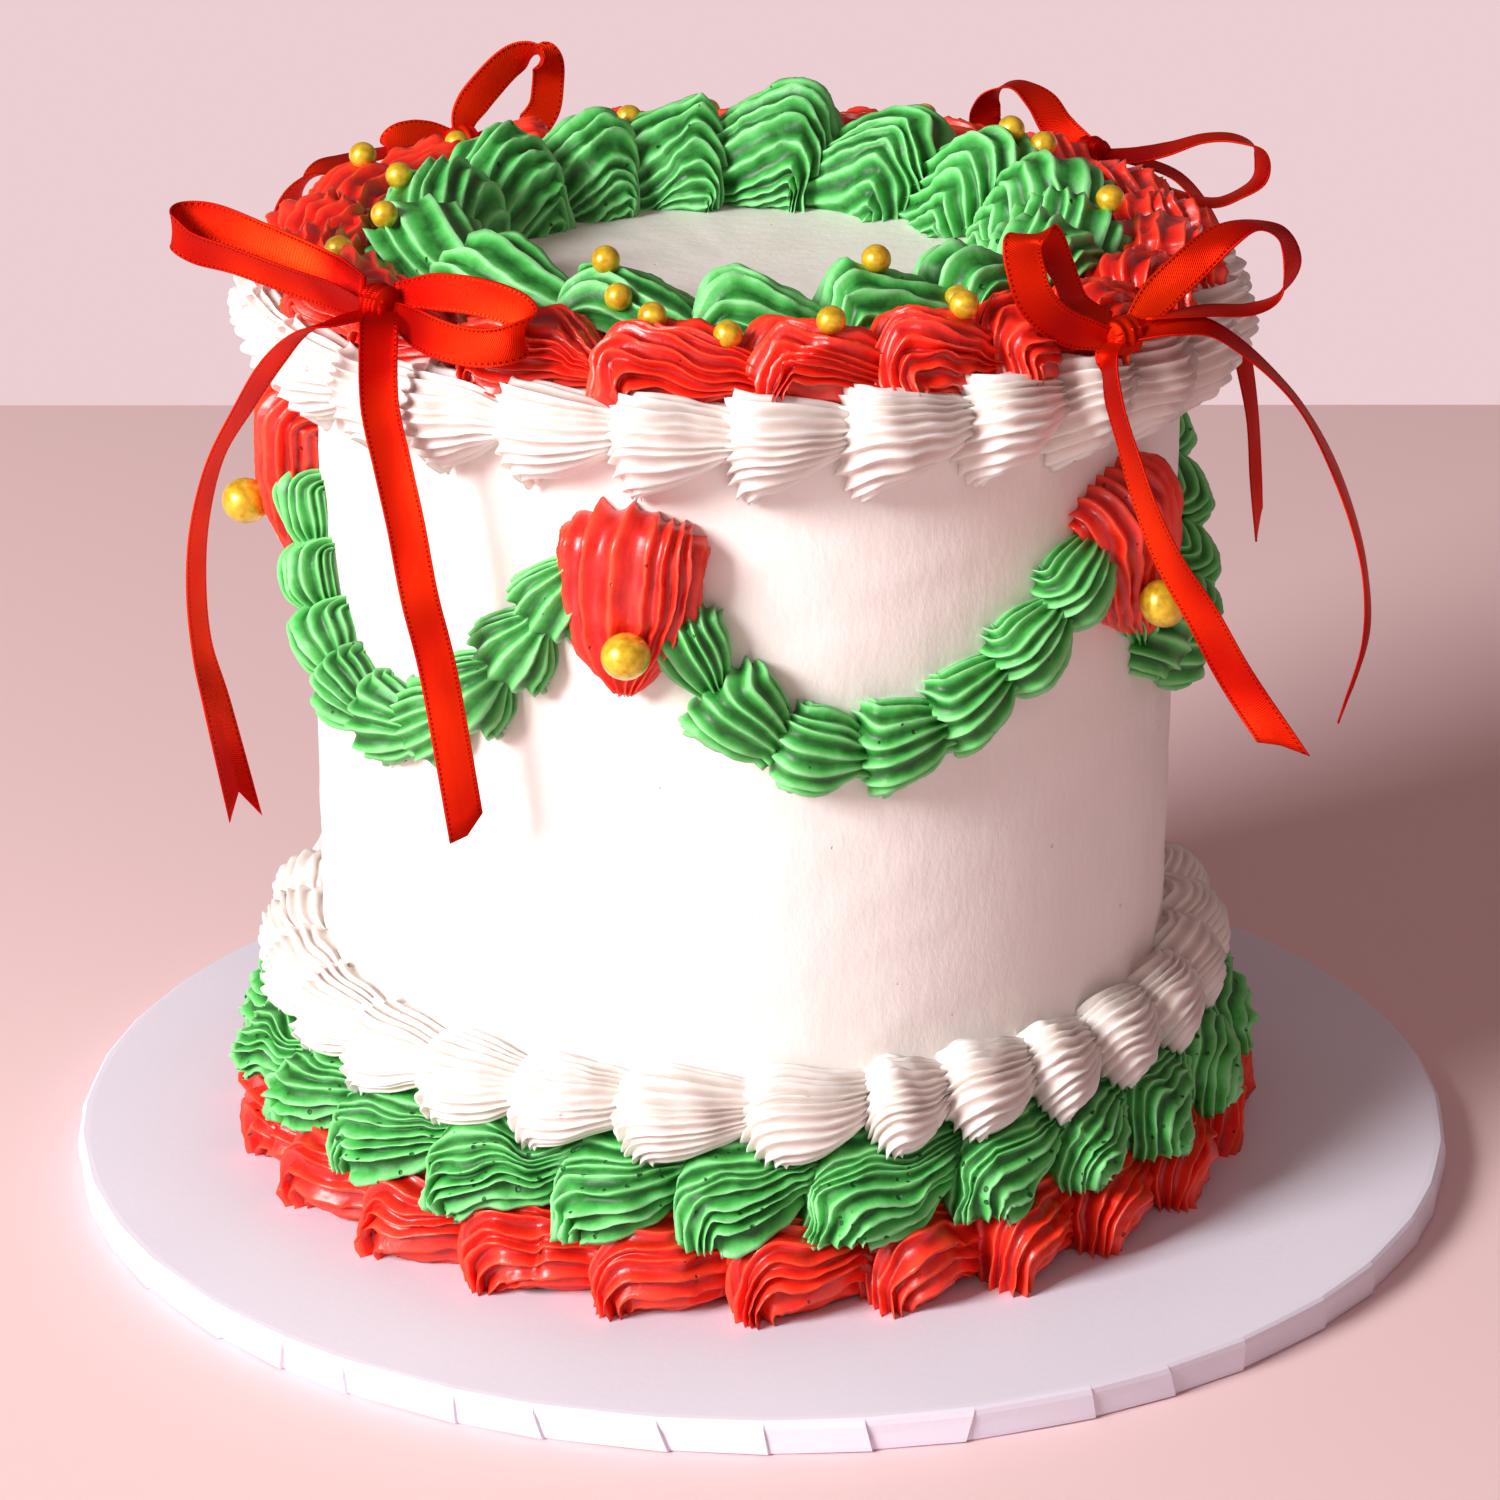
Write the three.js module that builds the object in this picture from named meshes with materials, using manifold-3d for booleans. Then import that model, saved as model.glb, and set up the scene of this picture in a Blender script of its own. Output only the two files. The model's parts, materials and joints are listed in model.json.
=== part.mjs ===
// Tall iced cake on a round cake board. Piped shell borders run round its foot and its top edge,
// shell swags hang between red drops on the side, and four ribbon bows sit on the top edge.
// Millimetres, +Z up. The origin is the middle of the board's underside; the front faces -Y.
// Angles are in degrees, counter-clockwise seen from above, so the front is at 270.
import * as THREE from 'three';
import { mergeVertices } from 'three/addons/utils/BufferGeometryUtils.js';
import Module from 'manifold-3d';

const wasm = await Module();
wasm.setup();

// Main sizes
const boardRadius = 127;
const boardHeight = 6.3;
const boardPleats = 44;
const cakeRadius = 77.2;
const cakeTop = 165;
const cakeEdge = 3;
const cakeShift = [-3.4, 0];
const gap = 0.3;
const sideContact = cakeRadius + gap;
const boardContact = boardHeight + gap;
const topContact = cakeTop + gap;

// Ribbon and pearls
const ribbonWidth = 6.35;
const ribbonThick = 0.6;
const smallPearl = 2.45;
const largePearl = 4.1;

const colours = {
  white: 0xf7f3ee,
  red: 0xd8301f,
  green: 0x3fa05a,
  gold: 0xc79a2e,
  ribbon: 0xc4120c,
  board: 0xece4ec,
};

const part = new THREE.Group();
part.name = 'piped_border_cake';

function add(name, geometry, colour, roughness, metalness = 0) {
  geometry.computeVertexNormals();
  const material = new THREE.MeshStandardMaterial({ color: colour, roughness, metalness });
  const mesh = new THREE.Mesh(geometry, material);
  mesh.name = name;
  part.add(mesh);
  return mesh;
}

function addToCake(name, geometry, colour, roughness, metalness = 0) {
  geometry.translate(cakeShift[0], cakeShift[1], 0);
  return add(name, geometry, colour, roughness, metalness);
}

function polar(degrees, radius, height) {
  const a = THREE.MathUtils.degToRad(degrees);
  return new THREE.Vector3(radius * Math.cos(a), radius * Math.sin(a), height);
}

// Joining of closed meshes into one
function toSolid(geometry) {
  const bare = new THREE.BufferGeometry();
  bare.setAttribute('position', geometry.getAttribute('position').clone());
  bare.setIndex(geometry.getIndex());
  const merged = mergeVertices(bare, 1e-4);
  const mesh = new wasm.Mesh({
    numProp: 3,
    vertProperties: new Float32Array(merged.getAttribute('position').array),
    triVerts: new Uint32Array(merged.getIndex().array),
  });
  mesh.merge();
  return new wasm.Manifold(mesh);
}

function join(geometries) {
  const solid = wasm.Manifold.union(geometries.map(toSolid));
  const mesh = solid.getMesh();
  const geometry = new THREE.BufferGeometry();
  geometry.setAttribute('position', new THREE.BufferAttribute(mesh.vertProperties, 3));
  geometry.setIndex(new THREE.BufferAttribute(mesh.triVerts, 1));
  return geometry;
}

// Cake board: a paper-wrapped disc, its rim folded in flat pleats
const board = new THREE.CylinderGeometry(boardRadius, boardRadius, boardHeight, boardPleats);
board.rotateX(Math.PI / 2);
board.translate(0, 0, boardHeight / 2);
add('cake_board', board, colours.board, 0.55);

// Cake: one solid, iced smooth, with a softly rounded top edge
const bodyLine = [
  [0, boardContact],
  [cakeRadius, boardContact],
  [cakeRadius, cakeTop - cakeEdge],
  [cakeRadius - cakeEdge * 0.3, cakeTop - cakeEdge * 0.3],
  [cakeRadius - cakeEdge, cakeTop],
  [0, cakeTop],
];
const body = new THREE.LatheGeometry(bodyLine.map(([r, z]) => new THREE.Vector2(r, z)), 60);
body.rotateX(Math.PI / 2);
addToCake('cake', body, colours.white, 0.6);

// Piped shell borders. Each outline row is [radius, height] at a shell's head, then the same
// two where its tail runs in under the next head. A row of two numbers stays where it is.
// Heads are listed where the photo shows them; the rest are spaced evenly round the back.
// growth makes single shells taller, by their number in the row.
function spread(seen, total) {
  const heads = [...seen];
  const last = seen[seen.length - 1];
  const missing = total - seen.length;
  const step = (seen[0] + 360 - last) / (missing + 1);
  for (let i = 1; i <= missing; i += 1) heads.push(last + step * i);
  return heads;
}

const phases = [0, 0.16, 0.58];
const fullness = [0, 1, 0.74];

function shellRing(outline, heads, growth = {}) {
  const closed = [...outline, outline[0]];
  const columns = heads.length * phases.length;
  const ring = new THREE.LatheGeometry(closed.map(([r, z]) => new THREE.Vector2(r, z)), columns);
  const place = ring.getAttribute('position');
  for (let c = 0; c <= columns; c += 1) {
    const shell = Math.floor(c / phases.length) % heads.length;
    const step = c % phases.length;
    const start = heads[shell];
    const end = shell + 1 < heads.length ? heads[shell + 1] : heads[0] + 360;
    const angle = start + (end - start) * phases[step];
    const grown = growth[shell] ?? 1;
    for (let k = 0; k < closed.length; k += 1) {
      const [r, z, lowR = r, lowZ = z] = closed[k];
      const full = fullness[step];
      const height = lowZ + (z - lowZ) * full;
      const p = polar(angle, lowR + (r - lowR) * full, outline[0][1] + (height - outline[0][1]) * grown);
      place.setXYZ(c * closed.length + k, p.x, p.y, p.z);
    }
  }
  return ring;
}

const bottomRed = shellRing([
  [sideContact, boardContact],
  [91.2, boardContact, 88, boardContact],
  [94.6, 11.6, 90, 11],
  [94.2, 17, 89.6, 16],
  [90, 20.8, 86.6, 21.6],
  [sideContact, 25.8],
], spread([237, 253, 268, 284, 298, 311], 24));
addToCake('bottom_red_border', bottomRed, colours.red, 0.4);

const bottomGreen = shellRing([
  [sideContact, 26.3],
  [87.5, 22.4, 85, 23.4],
  [92, 20.8, 88.4, 23.4],
  [92.4, 27.2, 88.6, 27.6],
  [90.2, 31.8, 87.4, 31.6],
  [85.4, 33.2],
  [sideContact, 37.2],
], spread([231, 247, 262, 276, 294, 308, 320], 24));
addToCake('bottom_green_border', bottomGreen, colours.green, 0.55);

const bottomWhite = shellRing([
  [sideContact, 38],
  [87.8, 33.7, 85.4, 34.4],
  [89.2, 37.4, 86.4, 37.6],
  [88.4, 42.4, 85.4, 42],
  [85.2, 46.6, 83.2, 45.2],
  [80.8, 48.4, 80.2, 46.4],
  [sideContact, 46],
], spread([228, 241, 254, 269, 284, 294, 306, 317], 28));
addToCake('bottom_white_border', bottomWhite, colours.white, 0.5);

const topWhite = shellRing([
  [sideContact, 150.8],
  [83.4, 151.1, 81.4, 152.4],
  [87.7, 155, 84.8, 156],
  [89.2, 161, 86.2, 160.5],
  [87.7, 166.3, 85, 165.6],
  [83, 169.9, 80.5, 168.8],
  [71.5, topContact],
  [sideContact, topContact],
], spread([229, 240, 254, 267, 280, 295, 308, 320], 28));
addToCake('top_white_border', topWhite, colours.white, 0.5);

// Small pearls pressed into the two upper borders: [angle, radius], resting on the icing there
const pearlsOnRed = [
  [268, 73.5], [281, 74], [299, 74], [312, 78], [341, 80], [258, 71], [199, 73], [157, 74.5],
  [137, 72], [62, 72], [95, 77],
];
const pearlsOnGreen = [
  [247, 58], [251, 63], [293, 56], [305, 62], [352, 64], [32, 64], [36, 60], [42, 64],
  [110, 62], [166, 63], [183, 62], [196, 64],
];

function withPearls(ring, pearls) {
  const icing = new THREE.Mesh(ring);
  const balls = pearls.map(([angle, radius]) => {
    const above = polar(angle, radius, cakeTop + 60);
    const drop = new THREE.Raycaster(above, new THREE.Vector3(0, 0, -1));
    const hit = drop.intersectObject(icing)[0].point;
    const ball = new THREE.SphereGeometry(smallPearl, 6, 3);
    ball.rotateX(Math.PI / 2);
    ball.translate(hit.x, hit.y, hit.z + smallPearl * 0.55);
    return ball;
  });
  return join([ring, ...balls]);
}

const topRed = shellRing([
  [71.8, topContact + 0.3],
  [82.7, 170.7, 80.6, 169.6],
  [81.6, 173.8, 79.4, 172.6],
  [77, 176.8, 75.6, 174.8],
  [71.2, 177.6, 70.6, 175],
  [66.8, 174.6, 66.9, 173.4],
  [62.9, topContact],
], spread([232, 250, 269, 285, 300, 314, 328], 22));
addToCake('top_red_border', withPearls(topRed, pearlsOnRed), colours.red, 0.4);

const greenHeads = [238, 260, 281, 302, 323, 344, 365, 387, 409, 431, 452, 471, 489, 512, 541, 571];
const topGreen = shellRing([
  [45.6, topContact, 48, topContact],
  [62.2, topContact],
  [66.2, 174, 64.8, 172.4],
  [63.6, 179.4, 62, 176.6],
  [57.4, 181.8, 57, 178],
  [50.8, 179.4, 52.4, 176.4],
  [45.6, 173.8, 48.6, 172],
  [43.9, 168.8, 47, 168.2],
], greenHeads, { 6: 1.08, 7: 1.05, 9: 1.3, 10: 1.14, 11: 1.1, 12: 1.06 });
addToCake('top_green_border', withPearls(topGreen, pearlsOnGreen), colours.green, 0.55);

// Red drops on the side: fanned shells that run down to a point, each with a pearl near its tip.
// They were piped by hand, so each one sits a little higher or lower: [angle, lift]
const drops = [[189, 3], [257.5, 0], [323, -2.5], [389, -1], [441, 1], [495, 2.5]];
const dropHalfWidth = 12.2;
const dropTop = 147;
const dropTip = 115.6;
const dropDepth = 11;

function dropGeometry(angle, lift) {
  const drop = new THREE.SphereGeometry(1, 10, 7);
  const place = drop.getAttribute('position');
  const tip = dropTip + lift;
  for (let i = 0; i < place.count; i += 1) {
    const across = place.getX(i);
    const down = (1 - place.getY(i)) / 2;
    const out = Math.max(place.getZ(i), 0);
    const narrow = 1 - 0.62 * Math.max(down - 0.42, 0) / 0.58;
    const depth = gap + out * dropDepth * (1 - 0.5 * down);
    const turn = THREE.MathUtils.radToDeg(across * dropHalfWidth * narrow / sideContact);
    const p = polar(angle + turn, cakeRadius + depth, dropTop + (tip - dropTop) * down);
    place.setXYZ(i, p.x, p.y, p.z);
  }
  return drop;
}

drops.forEach(([angle, lift], i) => {
  addToCake(`drop_${i + 1}`, dropGeometry(angle, lift), colours.red, 0.35);
  const pearl = new THREE.SphereGeometry(largePearl, 10, 6);
  pearl.rotateX(Math.PI / 2);
  const p = polar(angle, 88.6, 124.8 + lift);
  pearl.translate(p.x, p.y, p.z);
  addToCake(`drop_pearl_${i + 1}`, pearl, colours.gold, 0.3, 0.6);
});

// Green swags: a row of shells hung in a curve from one drop to the next
const swagShells = [9, 7, 7, 7, 7, 7];
const swagLow = [100.5, 105, 104, 103.5, 104, 102];
const swagLowest = [0.5, 0.4, 0.45, 0.5, 0.45, 0.5];
const swagHalfWidth = 7.4;
const swagHeight = 8;
const swagClear = 9.4;
const swagStop = 10.4;
const swagPhases = [0, 0.18, 0.6];
const swagFullness = [0.62, 1, 0.86];
const swagSection = [[-1, 0], [-0.85, 0.7], [0, 1], [0.85, 0.7], [1, 0], [0, 0]];

function swagGeometry(index) {
  const [from, liftFrom] = drops[index];
  const [to, liftTo] = index + 1 < drops.length ? drops[index + 1] : [drops[0][0] + 360, drops[0][1]];
  const start = from + swagClear + liftFrom * 0.6;
  const end = to - swagStop;
  const sides = swagSection.length;
  const rows = swagShells[index] * swagPhases.length;
  const swag = new THREE.CylinderGeometry(1, 1, 1, sides, rows);
  const place = swag.getAttribute('position');
  const hang = (t) => {
    const lowest = swagLowest[index];
    const s = t < lowest ? 1 - t / lowest : (t - lowest) / (1 - lowest);
    const top = t < lowest ? 120 + 2 * liftFrom : 128 + liftTo;
    const rise = (top - swagLow[index]) * s ** (t < lowest ? 2.4 : 1.7);
    return [start + (end - start) * t, swagLow[index] + rise];
  };
  for (let i = 0; i < place.count; i += 1) {
    const row = Math.round((0.5 - place.getY(i)) * rows);
    const shell = Math.floor(row / swagPhases.length);
    const step = row % swagPhases.length;
    const t = Math.min((shell + swagPhases[step]) / swagShells[index], 1);
    const full = row === rows ? 0.5 : swagFullness[step];
    const [angle, height] = hang(t);
    const [angleOn, heightOn] = hang(t + 0.01);
    const slope = Math.atan2(heightOn - height, THREE.MathUtils.degToRad(angleOn - angle) * sideContact);
    const x = place.getX(i);
    const z = place.getZ(i);
    const spoke = (Math.round(Math.atan2(x, z) / (2 * Math.PI) * sides) + sides) % sides;
    const [side, out] = Math.hypot(x, z) < 0.5 ? [0, 0.4] : swagSection[spoke];
    const across = side * swagHalfWidth * full;
    const turn = THREE.MathUtils.radToDeg(-across * Math.sin(slope) / sideContact);
    const p = polar(angle + turn, sideContact + out * swagHeight * full, height + across * Math.cos(slope));
    place.setXYZ(i, p.x, p.y, p.z);
  }
  return swag;
}

drops.forEach((drop, i) => {
  addToCake(`swag_${i + 1}`, swagGeometry(i), colours.green, 0.55);
});

// Ribbon bows, each tied from one ribbon: a knot, two loops and two tails.
// A strip's rows are a point on its middle line, then the direction across its width.
const bows = {
  bow_front_left: {
    knot: [-59.4, -62, 177.3],
    strips: [
      [[-62, -61, 176, 0, -0.4, 0.9], [-67, -57, 177, 0, -0.5, 0.9], [-75, -51, 178, 0, -0.5, 0.9],
        [-85, -45, 180, 0, -0.5, 0.9], [-92, -41, 181, 0, -0.3, 0.9], [-95.5, -38, 183, 0, 0, 1],
        [-94, -35, 184, 0, 0.2, 1], [-89, -36, 184, 0, 0.3, 0.9], [-81, -40, 182, 0, 0.3, 0.9],
        [-71, -48, 180, 0, 0.3, 0.9], [-62, -59, 179, 0, 0.2, 1]],
      [[-57, -61, 178.4, 0, 0.3, 0.9], [-50, -63, 179.4, 0, 0.3, 0.9], [-43, -66, 179.4, 0.1, 0.3, 0.9],
        [-37, -70, 178.4, 0.3, 0.3, 0.9], [-35, -74, 176.8, 0.3, 0.5, 0.8], [-37, -77.4, 175, 0.2, 0.4, 0.9],
        [-43, -77.4, 174.2, 0, 0.35, 0.9], [-50, -73.4, 174.8, 0, 0.35, 0.9], [-57, -65, 176.4, 0, 0.3, 0.9]],
      [[-61, -63, 176, 0, 1, 0.1], [-66, -64, 175, 0, 1, 0], [-72, -64, 173, 0.2, 0.9, -0.3],
        [-77, -64, 168, 0.5, 0.8, -0.3], [-82, -63, 160, 0.5, 0.8, -0.1], [-87, -63, 151, 0.4, 0.9, 0],
        [-90, -63, 140, 0.4, 0.9, 0], [-91, -63, 129, 0.4, 0.9, 0], [-90.5, -63, 118, 0.4, 0.9, 0],
        [-88.5, -63, 108, 0.6, 0.8, 0], [-85, -64, 91, 0.8, 0.6, 0]],
      [[-59, -63.5, 176.5, 1, 0, 0], [-59, -71, 175.5, 1, 0.1, 0], [-59, -74, 164, 1, 0.1, 0],
        [-57, -76, 154, 1, 0.1, 0], [-55, -77, 144, 1, 0.1, 0], [-53, -78, 132, 1, 0.1, 0],
        [-50, -78.5, 118, 1, 0.1, 0], [-46, -79, 91, 1, 0.1, 0.1]],
    ],
  },
  bow_front_right: {
    knot: [62.2, -61.2, 171.6],
    strips: [
      [[60, -62, 171, 0.5, 0, 0.8], [52.5, -67, 174.5, 0.6, 0, 0.7], [47.5, -70, 179.5, 0.8, 0, 0.5],
        [45.5, -70, 185, 1, 0, 0], [45, -68, 189, 1, 0, 0], [47, -65, 189.5, 1, 0.2, 0],
        [49.5, -63, 187.5, 0.8, 0.5, 0], [52, -61.5, 182.5, 0.6, 0.7, 0], [54.5, -61, 177, 0.6, 0.7, 0],
        [60.3, -60.2, 173.8, 0.6, 0.7, 0]],
      [[64, -60, 172.5, 0.6, -0.3, -0.8], [68, -57, 177, 0.6, -0.3, -0.8], [74, -54, 182, 0.5, -0.5, -0.7],
        [79, -51, 185.5, 0.3, -0.8, -0.4], [84, -49, 187, 0.1, -1, 0], [89, -48, 185, -0.3, -0.9, 0],
        [91, -48, 180, -0.5, -0.8, 0], [89, -49, 175.5, -0.3, -0.9, 0], [84, -52, 173.5, 0, -1, 0],
        [76, -55, 174, 0, -1, 0], [65, -60.4, 174, 0, -0.9, 0.3]],
      [[64, -61.5, 171.5, 0, 1, 0.2], [70, -61, 173, 0, 1, 0.3], [76, -60, 172.5, 0, 1, 0.2],
        [82, -58, 168.5, 0.1, 1, 0.1], [88, -57, 163, 0.1, 1, 0], [93, -57, 157, 0.1, 1, 0],
        [98, -56, 148, 0.2, 1, 0], [102, -56, 138, 0.2, 1, 0], [104.5, -56, 128, 0.2, 1, 0],
        [105, -56, 117, 0.3, 1, 0], [102, -56, 105, 0.3, 1, 0]],
      [[61.5, -62, 171, 0.3, -1, 0], [59.5, -69, 170, 0.2, -1, 0], [60, -73, 164, 0.4, -0.9, 0],
        [62.5, -74.5, 156, 0.5, -0.9, 0], [65.5, -76, 147, 0.6, -0.8, 0], [69.5, -77, 138, 0.7, -0.6, 0.1],
        [75, -78, 129, 0.8, -0.4, 0.2], [81, -78, 118, 0.9, -0.3, 0.3], [89, -79, 106, 0.9, -0.2, 0.1]],
    ],
  },
  bow_back_right: {
    knot: [65, 59, 172],
    strips: [
      [[64, 59, 173, 0.7, 0, 0.7], [59, 64, 175.5, 0.7, 0.3, 0.6], [56, 68, 179.5, 0.6, 0.6, 0.4],
        [52, 71, 182, 0.2, 1, 0.1], [48.5, 72, 181.5, 0.1, 1, -0.2], [46, 72, 178.5, 0.7, 0.6, -0.3],
        [46, 72.5, 174, 0.9, 0.2, -0.3], [51, 70, 171, 0.7, 0.2, -0.7], [63, 61, 170.8, 0.3, 0.3, -0.8]],
      [[67, 58, 172, 0, 1, 0.2], [72.5, 54, 173, 0.2, 0.9, 0.2], [78, 50, 175, 0, 1, 0.1],
        [84.5, 48, 177.5, 0, 1, 0], [90, 46, 178, 0, 1, 0], [94.5, 45, 176, -0.3, 0.9, 0],
        [95, 45, 171.5, -0.3, 0.9, 0], [92, 46, 168, 0, 1, 0], [86.5, 48, 165.5, 0, 1, 0],
        [78.5, 53, 166.5, 0, 1, 0], [67, 59, 170.6, 0, 1, 0]],
      [[66, 60, 171, 0.2, 1, 0], [72, 60, 170.5, 0.2, 1, 0], [81, 56, 168, 0.2, 1, 0],
        [87, 50, 161, 0.3, 1, 0], [90, 46, 151, 0.5, 0.8, 0], [93, 44, 137, 0.5, 0.8, 0],
        [95, 43, 126, 0.4, 0.9, 0], [96, 43, 114, 0.4, 0.9, 0], [97, 44, 104, 0.3, 0.9, 0]],
      [[64, 60.5, 171.5, 0.8, 0.6, 0], [62, 67, 171.5, 0.9, 0.4, 0], [61, 72.5, 165, 0.9, 0.4, 0],
        [60.5, 74, 148, 0.9, 0.4, 0], [60, 74, 128, 0.9, 0.4, 0], [59, 74, 106, 0.9, 0.4, 0]],
    ],
  },
  bow_back_left: {
    knot: [-53, 68, 171.8],
    strips: [
      [[-53, 68, 173, 0.6, 0.3, -0.7], [-52, 70, 177, 0.7, 0.1, -0.7], [-48, 72, 182, 0.7, 0.1, -0.7],
        [-43.5, 74, 186, 0.6, 0.3, -0.7], [-39, 76, 187, 0.6, 0.7, -0.3], [-37, 77, 185, 0.9, 0.4, 0],
        [-37, 78, 180.5, 0.9, 0.3, 0], [-38, 77, 175.5, 0.9, 0.3, 0], [-42, 74.5, 172, 0.8, 0.3, 0.5],
        [-51, 69, 171, 0.4, 0.3, 0.8]],
      [[-54.5, 68, 172.5, 0, 0.8, 0.6], [-59, 66, 174, 0, 0.8, 0.6], [-64, 63.5, 174, 0, 0.8, 0.6],
        [-66.5, 62, 172, 0, 0.8, 0.5], [-64, 63.5, 170, 0, 0.8, 0.6], [-54.5, 68, 170.6, 0, 0.8, 0.6]],
      [[-54.5, 69, 171, 0, 1, 0], [-60, 66, 171.5, 0, 1, 0], [-67, 60, 172, 0, 1, 0],
        [-73, 54, 172, 0, 1, 0.1], [-77.5, 48.5, 171.5, 0.2, 0.9, 0.2], [-81, 43.5, 169.5, 0.4, 0.9, 0.1],
        [-84, 39, 166, 0.5, 0.9, 0], [-85.5, 37, 159.5, 0.5, 0.9, 0], [-86, 36, 144.5, 0.5, 0.9, 0],
        [-85, 38, 122.5, 0.5, 0.8, 0], [-83.5, 41, 102, 0.6, 0.8, 0]],
      [[-52, 69.5, 171, 0.9, -0.3, 0], [-50, 74, 170.5, 1, 0, 0], [-49, 78, 164, 1, 0, 0],
        [-48.5, 79, 148, 1, 0, 0], [-48, 79, 124, 1, 0, 0], [-49, 79, 98, 1, 0, 0]],
    ],
  },
};

function stripGeometry(rows) {
  const line = new THREE.CatmullRomCurve3(rows.map(([x, y, z]) => new THREE.Vector3(x, y, z)));
  const widths = rows.map((row) => new THREE.Vector3(row[3], row[4], row[5]).normalize());
  const pieces = rows.length - 1;
  const strip = new THREE.BoxGeometry(ribbonWidth, ribbonThick, 1, 1, 1, pieces);
  const place = strip.getAttribute('position');
  for (let i = 0; i < place.count; i += 1) {
    const t = place.getZ(i) + 0.5;
    const at = t * (rows.length - 1);
    const k = Math.min(Math.floor(at), rows.length - 2);
    const middle = line.getPoint(t);
    const ahead = line.getTangent(t);
    const across = widths[k].clone().lerp(widths[k + 1], at - k);
    across.addScaledVector(ahead, -across.dot(ahead)).normalize();
    const face = ahead.clone().cross(across);
    middle.addScaledVector(across, place.getX(i));
    middle.addScaledVector(face, place.getY(i));
    place.setXYZ(i, middle.x, middle.y, middle.z);
  }
  return strip;
}

for (const [name, bow] of Object.entries(bows)) {
  const knot = new THREE.SphereGeometry(1, 8, 6);
  knot.scale(4.2, 3.6, 3.8);
  knot.translate(...bow.knot);
  addToCake(name, join([knot, ...bow.strips.map(stripGeometry)]), colours.ribbon, 0.35);
}

export default part;
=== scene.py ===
# Piped buttercream cake on a wrapped cake board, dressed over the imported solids.
# Sizes are millimetres and angles are degrees, counter-clockwise from +X seen from above, so the
# front is at 270. MM turns millimetres into Blender's metres.
import bpy
import bmesh
import json
import math
import numpy as np
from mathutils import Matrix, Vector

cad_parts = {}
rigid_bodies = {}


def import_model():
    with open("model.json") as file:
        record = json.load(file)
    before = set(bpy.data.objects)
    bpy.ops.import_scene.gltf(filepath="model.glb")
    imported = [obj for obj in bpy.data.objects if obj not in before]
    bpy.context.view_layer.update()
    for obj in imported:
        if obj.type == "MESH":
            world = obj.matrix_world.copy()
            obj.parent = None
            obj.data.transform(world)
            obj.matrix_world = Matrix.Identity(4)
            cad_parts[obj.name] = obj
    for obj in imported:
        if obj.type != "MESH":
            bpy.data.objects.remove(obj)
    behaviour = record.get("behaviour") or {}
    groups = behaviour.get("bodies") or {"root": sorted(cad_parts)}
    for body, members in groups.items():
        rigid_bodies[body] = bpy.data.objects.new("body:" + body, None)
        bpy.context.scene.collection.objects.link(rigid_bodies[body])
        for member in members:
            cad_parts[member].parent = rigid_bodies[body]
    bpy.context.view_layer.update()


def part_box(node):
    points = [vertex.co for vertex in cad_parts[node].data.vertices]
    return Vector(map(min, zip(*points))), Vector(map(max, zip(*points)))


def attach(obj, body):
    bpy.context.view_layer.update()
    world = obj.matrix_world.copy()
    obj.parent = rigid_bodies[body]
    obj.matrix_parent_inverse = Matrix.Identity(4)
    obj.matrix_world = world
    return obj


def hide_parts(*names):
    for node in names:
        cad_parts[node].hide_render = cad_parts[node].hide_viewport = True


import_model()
MM = 0.001


# Cake board
# A stiff round board wrapped in white paper. The paper is folded down over the rim in flat
# pleats, so the rim is a row of short flat faces with a crease and a small step at each one.
def add_node(tree, kind, inputs=None, **settings):
    """A node with its settings, its inputs set to values or joined to other sockets."""
    node = tree.nodes.new(kind)
    for key, value in settings.items():
        setattr(node, key, value)
    for key, value in (inputs or {}).items():
        if isinstance(value, bpy.types.NodeSocket):
            tree.links.new(value, node.inputs[key])
        else:
            node.inputs[key].default_value = value
    return node


def calc(tree, operation, *values):
    """The result of a Math node."""
    return add_node(tree, "ShaderNodeMath", dict(enumerate(values)), operation=operation).outputs[0]


def noise(tree, place, scale, detail, rough=0.5):
    """The share, from 0 to 1, of a cloud pattern."""
    return add_node(tree, "ShaderNodeTexNoise", {"Vector": place, "Scale": scale, "Detail": detail,
                                                 "Roughness": rough}).outputs["Fac"]


def bump(tree, height, distance, strength=1.0, **under):
    """The normal of a relief of this depth in mm, over another one where Normal is given."""
    return add_node(tree, "ShaderNodeBump", {"Height": height, "Strength": strength,
                                             "Distance": distance * MM, **under}).outputs[0]


def colour_ramp(tree, share, *stops):
    """The colour at the share between the stops, each (position, colour), the two ends first."""
    node = add_node(tree, "ShaderNodeValToRGB", {"Fac": share})
    stages = node.color_ramp.elements
    for k, (position, colour) in enumerate(stops):
        stage = stages[k] if k < 2 else stages.new(position)
        stage.position, stage.color = position, (*colour, 1)
    return node.outputs["Color"]


def new_material(name):
    """An empty node material, its output node, and its Object coordinates."""
    material = bpy.data.materials.new(name)
    material.use_nodes = True
    tree = material.node_tree
    tree.nodes.clear()
    output = add_node(tree, "ShaderNodeOutputMaterial")
    place = add_node(tree, "ShaderNodeTexCoord").outputs["Object"]
    return material, tree, output, place


def surface(tree, output, inputs):
    """Joins a principled shader with these inputs to the material's output."""
    shader = add_node(tree, "ShaderNodeBsdfPrincipled", inputs)
    tree.links.new(shader.outputs["BSDF"], output.inputs["Surface"])


def into_scene(name, data):
    """An object that holds the data, linked into the scene."""
    thing = bpy.data.objects.new(name, data)
    bpy.context.scene.collection.objects.link(thing)
    return thing


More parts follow.
